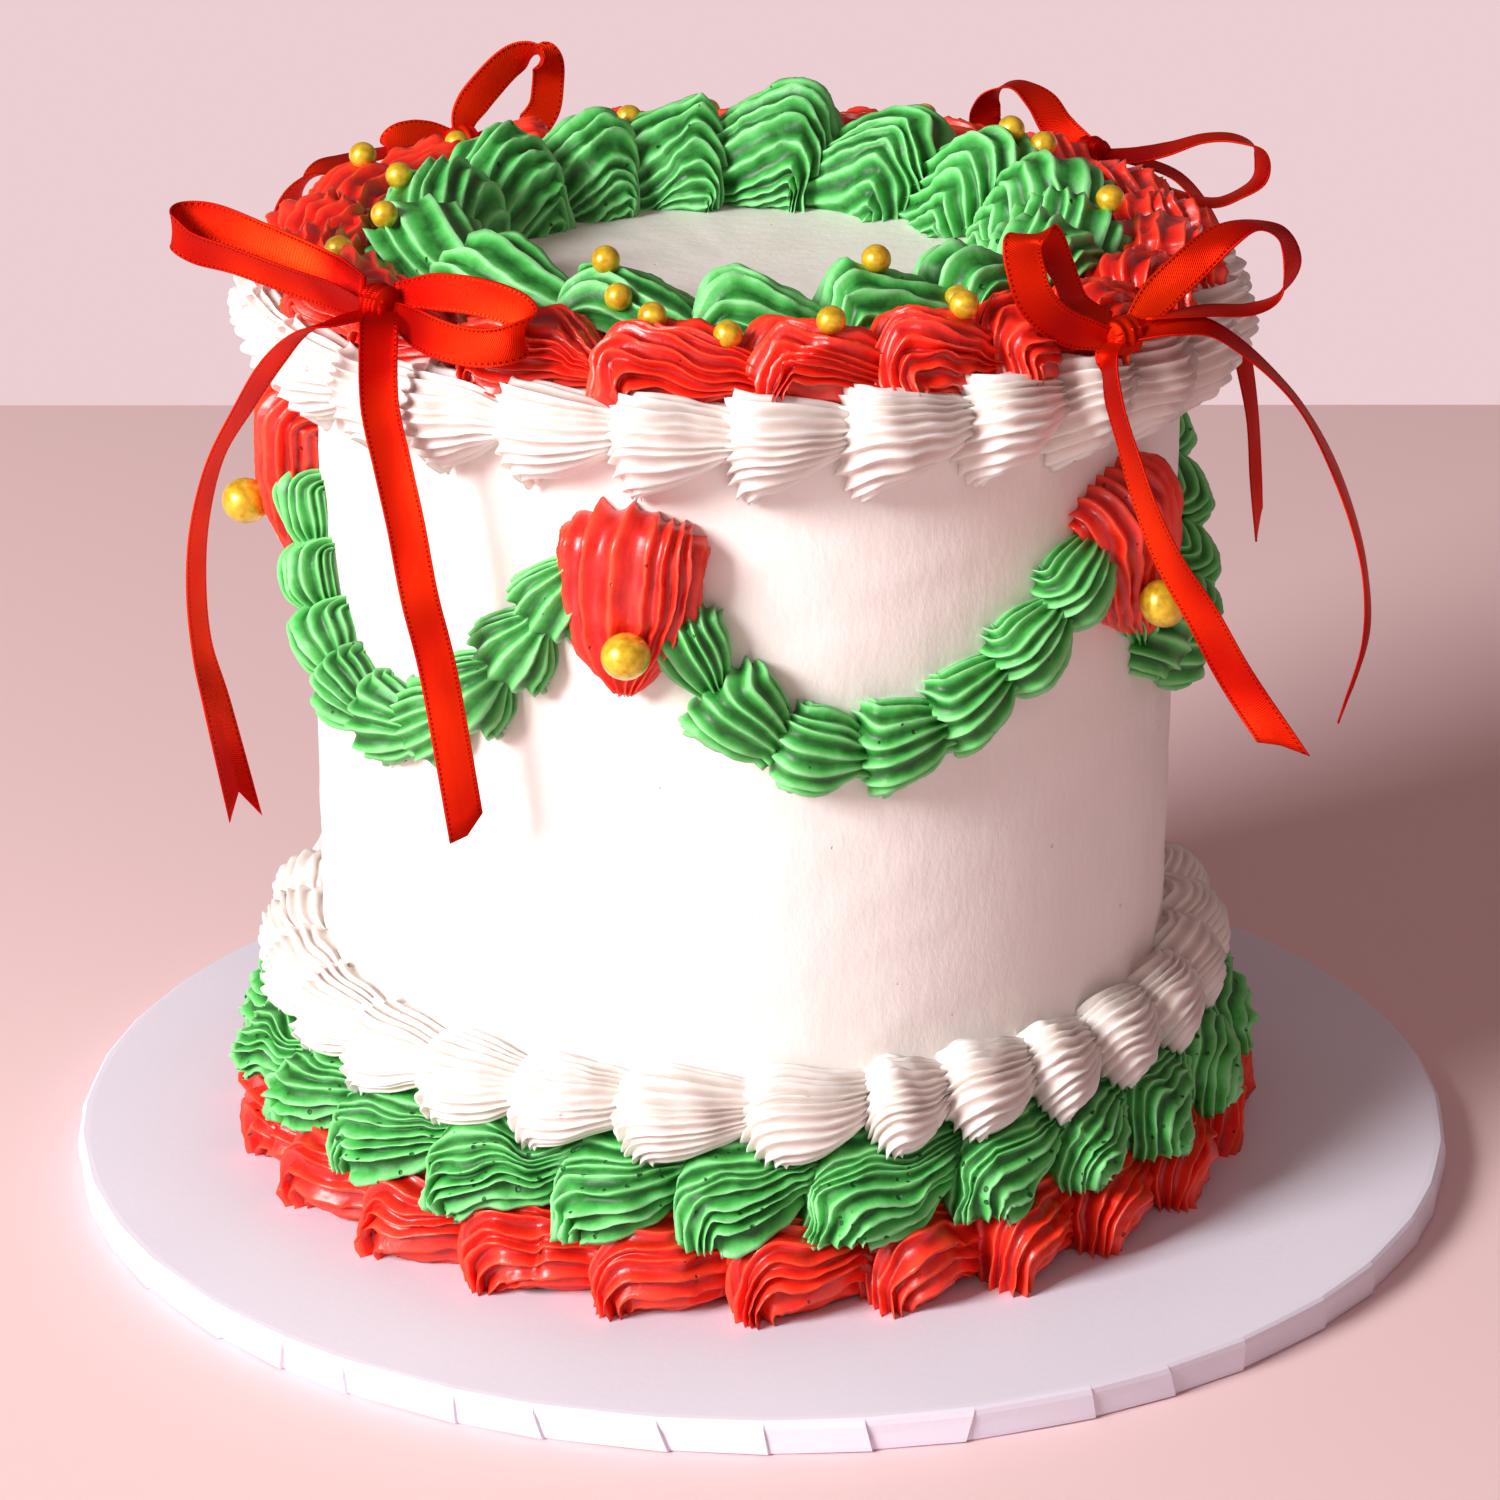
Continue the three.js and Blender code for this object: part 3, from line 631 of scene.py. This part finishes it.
# Top red border
# Large glossy shells of red buttercream on the rim of the top, behind the white crown. The tip
# was swung as they were piped, so their ridges sweep across them.
top_red = border(
    "top_red_shells", all_heads([232, 250, 269, 285, 300, 314, 328], 22), bend=75, kinds=7,
    material=red_icing, seed=51,
    outline=[[80.4, 163.8, 77.0, 165], [83.2, 168.8, 79.0, 168.2], [81.8, 173.6, 77.4, 171.6],
             [77.0, 176.6, 74.4, 173.6], [70.8, 177.0, 69.6, 173.8], [66, 174.2, 65.8, 171.8],
             [64, 168.4]],
    pivot=(80.4, 164.4), lie=(0.88, 0.47), ridges=12, depth=1.8, twist=-0.3, foot=0.62,
    bold=(1, 1.1, 1.1, 0.8, 0.5), torn=0.2, uneven=0.95)
dress(top_red, "red_icing", "top_red_border")


# Top green border
# The tallest row, a ring of large shells on the top of the cake. Seen from inside the ring, their
# ridges stand in nested arches.
green_heads = [238, 260, 281, 302, 323, 344, 365, 387, 409, 431, 452, 471, 489, 512, 541, 571]
top_green = border(
    "top_green_shells", green_heads, bend=57, kinds=8, material=green_icing, seed=61,
    outline=[[62.2, 163.6, 61.4, 163.6], [66.8, 174.8, 64.2, 172.4], [65.0, 182.4, 62.4, 178.6],
             [57.8, 187.0, 57.0, 181.6], [50.4, 184.4, 51.6, 179.4], [44.8, 177.6, 47.6, 174.0],
             [43.2, 170.4, 46.4, 169.0], [45.2, 165.6, 48, 165.6]],
    pivot=(55, 170), lie=(1, 0), ridges=16, depth=1.7, spill=0.4, legs=6.4, profile=EVEN,
    lifts=(-5.5, -5.5, -5.5, -5.5, -5, -4.5, -4, -4.8, -3.4, -0.5, -3.6, -5, -5.5, -5.5, -5, -5.5),
    foot=0.82, uneven=0.8, torn=0.07)
dress(top_green, "green_icing", "top_green_border")


# Red drops
# Six fanned shells on the side, piped from the top down and drawn off to a point, where the swags
# hang from them.
DROPS = [(189, 3), (257.5, 0), (323, -2.5), (389, -1), (441, 1), (495, 2.5)]  # angle, lift
DROP_TOP = 147
DROP_LENGTH = 31.4
DROP_BACK = 8  # of the length, what lies above the middle of the swollen head
DROP_TURN = [0, -4, 11, -2, 3, -3]  # how far each one leans, which also moves its head aside
drop_outline = [[0.2, -11.6, 0.2, -1.7], [4.2, -11.4, 2.0, -1.7], [7.6, -8.6, 3.4, -1.2],
                [9.0, -3.2, 4.2, -0.4], [9.0, 3.2, 4.2, 0.4], [7.6, 8.6, 3.4, 1.2],
                [4.2, 11.4, 2.0, 1.7], [0.2, 11.6, 0.2, 1.7]]
for k, (angle, lift) in enumerate(DROPS):
    name = f"drop_{k + 1}"
    shell = piped_shell(f"drop_{k}", drop_outline, (0, 0), (0, 1), DROP_LENGTH, ridges=12,
                        depth=1.9, seed=300 + k, profile=EVEN, fan=0.08, head_rows=18,
                        tail_rows=34, tail_power=3, foot=0.9, toothed=0.2,
                        head_share=DROP_BACK / DROP_LENGTH, overlap=1.0)
    spot = (angle + DROP_TURN[k] * 0.1, CAKE_RADIUS + 0.1, DROP_TOP + lift - DROP_BACK,
            DROP_TURN[k] - 90, (1, 1, 1), 0)
    drop = pipe_row(f"red_{name}", [shell], [spot], CAKE_RADIUS, red_icing)
    dress(drop, "red_icing", name)


# Green swags
# Garlands of small shells between the drops, each hung in a curve. The first shell starts under
# one drop and the last tail is tucked in beside the next.
SWAG_SHELLS = [9, 7, 7, 7, 7, 7]
SWAG_LOW = [100.5, 105, 104, 103.5, 104, 102]  # height of the lowest point
SWAG_LOWEST = [0.5, 0.43, 0.46, 0.5, 0.46, 0.5]  # where that is, as a share of the span
SWAG_START = 4.4  # degrees from the drop before
SWAG_STOP = [8, 4.5, 7, 8, 7, 8]  # degrees to the drop after
SWAG_PITCH = 13.0
SWAG_ENDS = 129, 135.5  # height of the first and the last shell on drops that aren't lifted
swag_outline = [[0.2, -7.6, 0.2, -4.8], [3.6, -7.4, 2.6, -4.6], [6.8, -5.0, 4.6, -3.2],
                [8.0, 0, 5.4, 0], [6.8, 5.0, 4.6, 3.2], [3.6, 7.4, 2.6, 4.6], [0.2, 7.6, 0.2, 4.8]]
swag_shells = [piped_shell(f"swag_{k}", swag_outline, (0, 0), (0, 1), SWAG_PITCH, ridges=10,
                           depth=1.5, seed=400 + k, profile=EVEN, fan=0.12, head_rows=12,
                           tail_rows=18, uneven=0.4, foot=0.86, toothed=0.3, tail_power=2.2)
               for k in range(7)]
swag_random = np.random.default_rng(77)
for k, (start, lift) in enumerate(DROPS):
    end, lift_on = DROPS[(k + 1) % 6]
    end += 360 if k == 5 else 0
    first = start + SWAG_START + lift * 0.6
    span = end - SWAG_STOP[k] - first
    line = []
    for t in np.linspace(0, 1, 121):
        if t < SWAG_LOWEST[k]:
            up, high = (1 - t / SWAG_LOWEST[k]) ** 3.2, SWAG_ENDS[0] + 2 * lift
        else:
            up = ((t - SWAG_LOWEST[k]) / (1 - SWAG_LOWEST[k])) ** 1.65
            high = SWAG_ENDS[1] + lift_on
        line.append((math.radians(first + span * t) * CAKE_RADIUS,
                     SWAG_LOW[k] + (high - SWAG_LOW[k]) * up))
    line = np.array(line)
    way = np.concatenate([[0], np.cumsum(np.hypot(*np.diff(line, axis=0).T))])
    apart = way[-1] / SWAG_SHELLS[k]
    spots = []
    for i in range(SWAG_SHELLS[k]):
        stop = apart * (i + 0.3)
        run, height = (np.interp(stop, way, line[:, c]) for c in (0, 1))
        run_on, height_on = (np.interp(stop + 3, way, line[:, c]) for c in (0, 1))
        slope = math.degrees(math.atan2(height_on - height, run_on - run))
        size = swag_random.uniform(0.98, 1.08) * (1 if i else 0.82)
        spots.append((math.degrees(run / CAKE_RADIUS), CAKE_RADIUS + 0.1, height, slope,
                      (apart / SWAG_PITCH, size, size), int(swag_random.integers(7))))
    swag = pipe_row(f"green_swag_{k + 1}", swag_shells, spots, CAKE_RADIUS, green_icing)
    dress(swag, "green_icing", f"swag_{k + 1}")


# Gold pearls
# Hard sugar balls with a pearly gold coat: small ones pressed by hand into the two upper borders,
# and a large one on the foot of each drop.
def pearl_tree():
    """Geometry Nodes that set a slightly uneven ball at each point."""
    tree, given = new_tree("pearls", ("Radius", "Float"), ("Seed", "Int"), ("Coat", "Material"))
    ball = add_node(tree, "GeometryNodeMeshUVSphere",
                    {"Segments": 28, "Rings": 18, "Radius": given["Radius"]})

    def varied(low, high):
        return add_node(tree, "FunctionNodeRandomValue",
                        {0: (low,) * 3, 1: (high,) * 3, "Seed": given["Seed"]},
                        data_type="FLOAT_VECTOR").outputs[0]

    balls = add_node(tree, "GeometryNodeInstanceOnPoints",
                     {"Points": given["Geometry"], "Instance": ball.outputs["Mesh"],
                      "Rotation": varied(0.0, 6.28), "Scale": varied(0.95, 1.04)})
    joined = add_node(tree, "GeometryNodeRealizeInstances", {"Geometry": balls.outputs[0]})
    smooth = add_node(tree, "GeometryNodeSetShadeSmooth", {"Geometry": joined.outputs[0]})
    return coated(tree, smooth.outputs[0], given["Coat"])


gold, tree, output, place = new_material("pearly_gold")
cloud = noise(tree, place, 700.0, 5.0)
tint = colour_ramp(tree, cloud, (0.3, (0.56, 0.30, 0.004)), (0.7, (0.90, 0.62, 0.03)))
surface(tree, output, {"Base Color": tint, "Metallic": 0.35, "Roughness": 0.33,
                       "Coat Weight": 0.6, "Coat Roughness": 0.25,
                       "Normal": bump(tree, cloud, 0.06)})

SMALL_PEARL = 2.45
LARGE_PEARL = 4.1
PROUD = 0.62  # of its radius, how far the middle of a pearl stays above the icing
PEARLS = pearl_tree()
# Angle and distance from the cake's axis.
pearls_on_red = [(268, 73.5), (281, 74), (299, 74), (312, 78), (341, 80), (258, 71), (199, 73),
                 (157, 74.5), (137, 72), (62, 72), (95, 77)]
pearls_on_green = [(247, 58), (251, 63), (293, 56), (305, 62), (352, 64), (32, 64), (36, 60),
                   (42, 64), (110, 62), (166, 63), (183, 62), (196, 64)]


def resting(ring, spots):
    """Points where a small pearl that comes down on the ring at each spot settles into it."""
    graph = bpy.context.evaluated_depsgraph_get()
    found = []
    for angle, radius in spots:
        a = math.radians(angle)
        above = ((AXIS + radius * math.cos(a)) * MM, radius * math.sin(a) * MM, 0.3)
        x, y, z = ring.evaluated_get(graph).ray_cast(above, (0, 0, -1))[1]
        found.append((x / MM, y / MM, z / MM + SMALL_PEARL * PROUD))
    return found


def pearls(name, places, radius, seed, node):
    """Pearls of one radius at these places, dressed over the node."""
    piece = run_tree(name, plain_mesh(name, places, []), PEARLS, Radius=radius * MM, Seed=seed,
                     Coat=gold)
    dress(piece, "gold_pearl", node)


pearls("pearls_on_red", resting(top_red, pearls_on_red), SMALL_PEARL, 3, "top_red_border")
pearls("pearls_on_green", resting(top_green, pearls_on_green), SMALL_PEARL, 4,
       "top_green_border")
for k in range(6):
    node = f"drop_pearl_{k + 1}"
    low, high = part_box(node)
    centre = [(a + b) / 2 / MM for a, b in zip(low, high)]
    pearls(f"large_pearl_{k + 1}", [centre], LARGE_PEARL, 20 + k, node)


# Ribbon bows
# Each bow is tied from one length of narrow red satin ribbon: two loops and two tails held by a
# knot. The ribbon has a fine slanted weave and a stitched-looking selvage along both edges.
RIBBON_WIDTH = 6.35
RIBBON_THICK = 0.34
STITCH_LINE = 2.62  # from the ribbon's middle line
STITCH_PITCH = 0.85
WEAVE_PITCH = 0.36
satin_cloth, tree, output, place = new_material("red_satin")
lie = add_node(tree, "ShaderNodeUVMap", uv_map="ribbon").outputs["UV"]
length, side = add_node(tree, "ShaderNodeSeparateXYZ", {"Vector": lie}).outputs[:2]
off_line = calc(tree, "ABSOLUTE", calc(tree, "SUBTRACT", calc(tree, "ABSOLUTE", side), STITCH_LINE))
stitch_band = add_node(tree, "ShaderNodeMapRange", {"Value": off_line, "From Min": 0.22,
                                                    "From Max": 0.12}).outputs[0]
slant = calc(tree, "MULTIPLY_ADD", side, 0.55, length)
weave = calc(tree, "SINE", calc(tree, "MULTIPLY", slant, 2 * math.pi / WEAVE_PITCH))
stitches = calc(tree, "SINE", calc(tree, "MULTIPLY", length, 2 * math.pi / STITCH_PITCH))
height = add_node(tree, "ShaderNodeMix", {"Factor": stitch_band, "A": weave, "B": stitches})
crumple = noise(tree, place, 48.0, 1.0)
relief = bump(tree, height.outputs[0], 0.05, 0.5, Normal=bump(tree, crumple, 2.2))
# Painted sheen: the cloud that crumples the ribbon also paints it from deep red to orange-red, the
# orange patches standing in for the satin's highlights.
painted_sheen = colour_ramp(tree, crumple, (0.36, (0.46, 0.002, 0.001)), (0.7, (0.86, 0.03, 0.003)))
tint = add_node(tree, "ShaderNodeMix",
                {0: calc(tree, "MULTIPLY", stitches, stitch_band), 6: painted_sheen,
                 7: (0.10, 0.001, 0.001, 1)}, data_type="RGBA")
surface(tree, output, {"Base Color": tint.outputs[2], "Roughness": 0.4, "Metallic": 0.65,
                       "Specular IOR Level": 0.3, "Specular Tint": (1.0, 0.25, 0.1, 1),
                       "Normal": relief})

# Each bow's knot, its two loops and its tails. A row is a point on the ribbon's middle line, then
# the direction across its width where that isn't the one of the row before.
BOWS = {
    "bow_front_left": [
    [(-59.4, -62, 177.3)],
    [(-62, -61, 176, 0, -0.4, 0.9), (-67, -57, 177, 0, -0.5, 0.9), (-75, -51, 178),
     (-85, -45, 180), (-92, -41, 181, 0, -0.3, 0.9), (-95.5, -38, 183, 0, 0, 1),
     (-94, -35, 184, 0, 0.2, 1), (-89, -36, 184, 0, 0.3, 0.9), (-81, -40, 182), (-71, -48, 180),
     (-62, -59, 179, 0, 0.2, 1)],
    [(-57, -61, 178.4, 0, 0.3, 0.9), (-50, -63, 179.4), (-43, -66, 179.4, 0.1, 0.3, 0.9),
     (-37, -70, 178.4, 0.3, 0.3, 0.9), (-35, -74, 176.8, 0.3, 0.5, 0.8),
     (-37, -77.4, 175, 0.2, 0.4, 0.9), (-43, -77.4, 174.2, 0, 0.35, 0.9), (-50, -73.4, 174.8),
     (-57, -65, 176.4, 0, 0.3, 0.9)],
    [(-61, -63, 176, 0, 1, 0.1), (-66, -64, 175, 0, 1, 0), (-72, -64, 173, 0.2, 0.9, -0.3),
     (-77, -64, 168, 0.5, 0.8, -0.3), (-82, -63, 160, 0.5, 0.8, -0.1),
     (-87, -63, 151, 0.4, 0.9, 0), (-90, -63, 140), (-91, -63, 129), (-90.5, -63, 118),
     (-88.5, -63, 108, 0.6, 0.8, 0), (-85, -64, 91, 0.8, 0.6, 0)],
    [(-59, -63.5, 176.5, 1, 0, 0), (-59, -71, 175.5, 1, 0.1, 0), (-59, -74, 164), (-57, -76, 154),
     (-55, -77, 144), (-53, -78, 132), (-50, -78.5, 118), (-46, -79, 91, 1, 0.1, 0.1)]],
    "bow_front_right": [
    [(62.2, -61.2, 171.6)],
    [(60, -62, 171, 0.5, 0, 0.8), (52.5, -67, 174.5, 0.6, 0, 0.7), (47.5, -70, 179.5, 0.8, 0, 0.5),
     (45.5, -70, 185, 1, 0, 0), (45, -68, 189), (47, -65, 189.5, 1, 0.2, 0),
     (49.5, -63, 187.5, 0.8, 0.5, 0), (52, -61.5, 182.5, 0.6, 0.7, 0), (54.5, -61, 177),
     (60.3, -60.2, 173.8)],
    [(64, -60, 172.5, 0.6, -0.3, -0.8), (68, -57, 177), (74, -54, 182, 0.5, -0.5, -0.7),
     (79, -51, 185.5, 0.3, -0.8, -0.4), (84, -49, 187, 0.1, -1, 0), (89, -48, 185, -0.3, -0.9, 0),
     (91, -48, 180, -0.5, -0.8, 0), (89, -49, 175.5, -0.3, -0.9, 0), (84, -52, 173.5, 0, -1, 0),
     (76, -55, 174), (65, -60.4, 174, 0, -0.9, 0.3)],
    [(64, -61.5, 171.5, 0, 1, 0.2), (70, -61, 173, 0, 1, 0.3), (76, -60, 172.5, 0, 1, 0.2),
     (82, -58, 168.5, 0.1, 1, 0.1), (88, -57, 163, 0.1, 1, 0), (93, -57, 157),
     (98, -56, 148, 0.2, 1, 0), (102, -56, 138), (104.5, -56, 128), (105, -56, 117, 0.3, 1, 0),
     (102, -56, 105)],
    [(61.5, -62, 171, 0.3, -1, 0), (59.5, -69, 170, 0.2, -1, 0), (60, -73, 164, 0.4, -0.9, 0),
     (62.5, -74.5, 156, 0.5, -0.9, 0), (65.5, -76, 147, 0.6, -0.8, 0),
     (69.5, -77, 138, 0.7, -0.6, 0.1), (75, -78, 129, 0.8, -0.4, 0.2),
     (81, -78, 118, 0.9, -0.3, 0.3), (89, -79, 106, 0.9, -0.2, 0.1)]],
    "bow_back_right": [
    [(65, 59, 172)],
    [(64, 59, 173, 0.7, 0, 0.7), (59, 64, 175.5, 0.7, 0.3, 0.6), (56, 68, 179.5, 0.6, 0.6, 0.4),
     (52, 71, 182, 0.2, 1, 0.1), (48.5, 72, 181.5, 0.1, 1, -0.2), (46, 72, 178.5, 0.7, 0.6, -0.3),
     (46, 72.5, 174, 0.9, 0.2, -0.3), (51, 70, 171, 0.7, 0.2, -0.7),
     (63, 61, 170.8, 0.3, 0.3, -0.8)],
    [(67, 58, 172, 0, 1, 0.2), (72.5, 54, 173, 0.2, 0.9, 0.2), (78, 50, 175, 0, 1, 0.1),
     (84.5, 48, 177.5, 0, 1, 0), (90, 46, 178), (94.5, 45, 176, -0.3, 0.9, 0), (95, 45, 171.5),
     (92, 46, 168, 0, 1, 0), (86.5, 48, 165.5), (78.5, 53, 166.5), (67, 59, 170.6)],
    [(66, 60, 171, 0.2, 1, 0), (72, 60, 170.5), (81, 56, 168), (87, 50, 161, 0.3, 1, 0),
     (90, 46, 151, 0.5, 0.8, 0), (93, 44, 137), (95, 43, 126, 0.4, 0.9, 0), (96, 43, 114),
     (97, 44, 104, 0.3, 0.9, 0)],
    [(64, 60.5, 171.5, 0.8, 0.6, 0), (62, 67, 171.5, 0.9, 0.4, 0), (61, 72.5, 165),
     (60.5, 74, 148), (60, 74, 128), (59, 74, 106)]],
    "bow_back_left": [
    [(-53, 68, 171.8)],
    [(-53, 68, 173, 0.6, 0.3, -0.7), (-52, 70, 177, 0.7, 0.1, -0.7), (-48, 72, 182),
     (-43.5, 74, 186, 0.6, 0.3, -0.7), (-39, 76, 187, 0.6, 0.7, -0.3), (-37, 77, 185, 0.9, 0.4, 0),
     (-37, 78, 180.5, 0.9, 0.3, 0), (-38, 77, 175.5), (-42, 74.5, 172, 0.8, 0.3, 0.5),
     (-51, 69, 171, 0.4, 0.3, 0.8)],
    [(-54.5, 68, 172.5, 0, 0.8, 0.6), (-59, 66, 174), (-64, 63.5, 174),
     (-66.5, 62, 172, 0, 0.8, 0.5), (-64, 63.5, 170, 0, 0.8, 0.6), (-54.5, 68, 170.6)],
    [(-54.5, 69, 171, 0, 1, 0), (-60, 66, 171.5), (-67, 60, 172), (-73, 54, 172, 0, 1, 0.1),
     (-77.5, 48.5, 171.5, 0.2, 0.9, 0.2), (-81, 43.5, 169.5, 0.4, 0.9, 0.1),
     (-84, 39, 166, 0.5, 0.9, 0), (-85.5, 37, 159.5), (-86, 36, 144.5),
     (-85, 38, 122.5, 0.5, 0.8, 0), (-83.5, 41, 102, 0.6, 0.8, 0)],
    [(-52, 69.5, 171, 0.9, -0.3, 0), (-50, 74, 170.5, 1, 0, 0), (-49, 78, 164), (-48.5, 79, 148),
     (-48, 79, 124), (-49, 79, 98)]]}
# How the end of a tail is cut: the shift along the ribbon at its left edge, middle and right edge.
PLAIN_CUT = (1.5, 0, -1.5)
CUTS = {("bow_front_left", 2): (3.0, -1.5, 4.0), ("bow_front_left", 3): (1.5, 0.5, -3.0),
        ("bow_front_right", 2): (2.5, 0.0, -2.5), ("bow_front_right", 3): (-3.0, -0.5, 3.5),
        ("bow_back_right", 2): (2.0, 0.0, -2.5), ("bow_back_left", 2): (2.5, -1.5, 3.0)}
# Across the ribbon: places from edge to edge, and the thickness there, rolled at the edges.
CROSS = np.array([-1, -0.985, -0.93, -0.86, -0.6, -0.3, 0, 0.3, 0.6, 0.86, 0.93, 0.985, 1])
EDGE_ROLL = np.array([0.5, 1.0, 1.25, 0.95, 0.85, 0.85, 0.85, 0.85, 0.85, 0.95, 1.25, 1.0, 0.5])
CUT_ROWS = 8  # rows at the end of a tail that the cut shifts


def ribbon_strip(rows, cut, narrow_ends, seed):
    """Points, faces and weave coordinates of one run of ribbon along its rows."""
    way = rows[0][3:]
    whole = []
    for row in rows:
        way = row[3:] or way
        whole.append(row[:3] + way)
    rows = np.array(whole, float)
    steps = (len(rows) - 1) * 9
    share = np.linspace(0, 1, steps + 1)
    line = along(rows[:, :3], share) + (AXIS, 0, 0)
    width = along(rows[:, 3:] / np.linalg.norm(rows[:, 3:], axis=1)[:, None], share)
    ahead = np.gradient(line, axis=0)
    ahead /= np.linalg.norm(ahead, axis=1)[:, None]
    width -= (width * ahead).sum(axis=1)[:, None] * ahead
    width /= np.linalg.norm(width, axis=1)[:, None]
    face = np.cross(ahead, width)
    length = np.concatenate([[0], np.cumsum(np.linalg.norm(np.diff(line, axis=0), axis=1))])
    # Drawn together over the last 7 mm before the knot, and bent a little across its width.
    half = np.full(steps + 1, RIBBON_WIDTH / 2)
    for end in narrow_ends:
        away = length if end == 0 else length[-1] - length
        half *= 0.62 + 0.38 * np.clip(away / 7.0, 0, 1) ** 0.8
    cup = 0.28 * np.sin(length / 19.0 + np.random.default_rng(seed).uniform(0, 6))
    points, weave = [], []
    count = len(CROSS)
    for k in range(steps + 1):
        push = np.zeros(count)
        if cut and k > steps - CUT_ROWS:
            push = np.interp(CROSS, (-1, 0, 1), cut) * (1 - (steps - k) / CUT_ROWS)
        middle = line[k] + np.outer(CROSS * half[k], width[k]) + np.outer(push, ahead[k])
        middle = middle + np.outer(cup[k] * (CROSS ** 2 - 0.4), face[k])
        lift = np.outer(EDGE_ROLL * RIBBON_THICK / 2, face[k])
        points += list(middle + lift) + list((middle - lift)[::-1])
        weave += [(length[k], c * RIBBON_WIDTH / 2) for c in (*CROSS, *CROSS[::-1])]
    loop = 2 * count
    faces = net(steps + 1, loop)
    for k in (0, steps):
        for c in range(count - 1):
            quad = (k * loop + c, k * loop + c + 1, (k + 1) * loop - 2 - c, (k + 1) * loop - 1 - c)
            faces.append(quad if k else quad[::-1])
    return points, faces, weave


def knot_band(middle, seed):
    """The knot: a short run of ribbon drawn tight round the crossing, so it bunches into folds."""
    random = np.random.default_rng(seed)
    out = np.array([middle[0], middle[1], 0]) / math.hypot(middle[0], middle[1])
    out = out * 0.8 + np.array([0, 0, 0.6])
    side = np.cross(out, (0, 0, 1))
    side /= np.linalg.norm(side)
    up = np.cross(side, out)
    points, weave = [], []
    around, across = 40, 19
    for a in np.arange(around) * 2 * math.pi / around:
        for b in np.linspace(-1, 1, across):
            fold = 0.34 * math.sin(b * 9.0 + 0.9 * math.sin(a) + random.uniform(-0.05, 0.05))
            swell = math.sqrt(max(1 - b * b, 0.0))
            radius = 0.8 + (2.0 + fold) * swell ** 0.45
            points.append(np.array(middle) + (AXIS, 0, 0) + side * b * 2.9
                          + (out * math.cos(a) + up * math.sin(a) * 1.12) * radius)
            weave.append((a * 3, b * 2.2))
    faces = [(i * across + j, i * across + j + 1, (i + 1) % around * across + j + 1,
              (i + 1) % around * across + j) for i in range(around) for j in range(across - 1)]
    faces.append(tuple(i * across for i in range(around)))
    faces.append(tuple(i * across + across - 1 for i in reversed(range(around))))
    return points, faces, weave


for b, (name, (knot, *strips)) in enumerate(BOWS.items()):
    points, faces, weave = knot_band(knot[0], 90 + b)
    for k, rows in enumerate(strips):
        is_tail = k >= 2
        cut = CUTS.get((name, k), PLAIN_CUT) if is_tail else None
        strip = ribbon_strip(rows, cut, (0,) if is_tail else (0, 1), b * 10 + k)
        faces += [tuple(v + len(points) for v in face) for face in strip[1]]
        points += strip[0]
        weave += strip[2]
    bow = mesh_piece(f"ribbon_{name}", points, faces, satin_cloth)
    corners = np.empty(len(bow.data.loops), int)
    bow.data.loops.foreach_get("vertex_index", corners)
    lie = bow.data.uv_layers.new(name="ribbon")
    lie.data.foreach_set("uv", np.array(weave)[corners].ravel())
    face_outwards(bow.data)
    dress(bow, "red_ribbon", name)


# Table, light and camera
# A plain pale pink table that ends behind the cake in front of a pale wall, a broad soft lamp on
# the left in front with a faint one beside the camera, and the camera where the photo was taken.
table_paint, tree, output, place = new_material("table")
surface(tree, output, {"Base Color": (0.86, 0.63, 0.64, 1), "Roughness": 0.6})
WIDE = 4000
TABLE_END = 463
table = mesh_piece("table", [(-WIDE, -WIDE, 0), (WIDE, -WIDE, 0), (WIDE, TABLE_END, 0),
                             (-WIDE, TABLE_END, 0)], [(0, 1, 2, 3)], table_paint, soft=False)

world = bpy.data.worlds.new("pale_wall")
bpy.context.scene.world = world
world.use_nodes = True
tree = world.node_tree
way = add_node(tree, "ShaderNodeTexCoord").outputs["Generated"]
height = add_node(tree, "ShaderNodeSeparateXYZ", {"Vector": way}).outputs["Z"]
# The pale wall low down, and the dimmer room above it.
room = colour_ramp(tree, height, (0.0, (0.83, 0.62, 0.64)), (0.02, (0.225, 0.145, 0.14)))
tree.links.new(room, tree.nodes["Background"].inputs["Color"])
bpy.context.scene.view_settings.view_transform = "Standard"


def lamp(name, place, aim, size, power, colour):
    """A square soft lamp at a place in millimetres, turned towards another."""
    light = bpy.data.lights.new(name, "AREA")
    light.size = size * MM
    light.energy = power
    light.color = colour
    holder = into_scene(name, light)
    start = np.array(place, float)
    way = np.array(aim, float) - start
    holder.location = start * MM
    holder.rotation_euler = (math.atan2(math.hypot(way[0], way[1]), -way[2]), 0,
                             math.atan2(-way[0], way[1]))


lamp("key", (-1760, -1380, 1150), aim=(0, 0, 90), size=900, power=100, colour=(1.0, 0.985, 0.97))
lamp("fill", (300, -1300, 900), aim=(0, 0, 90), size=1100, power=2.2, colour=(1.0, 0.82, 0.79))

view = bpy.data.cameras.new("photo_view")
view.sensor_width = 36
view.lens = 120
camera = into_scene("photo_view", view)
camera.location = (-3.45 * MM, -850.6 * MM, 400.1 * MM)
camera.rotation_euler = (math.radians(90 - 20.886), 0, math.radians(-0.08))
bpy.context.scene.camera = camera
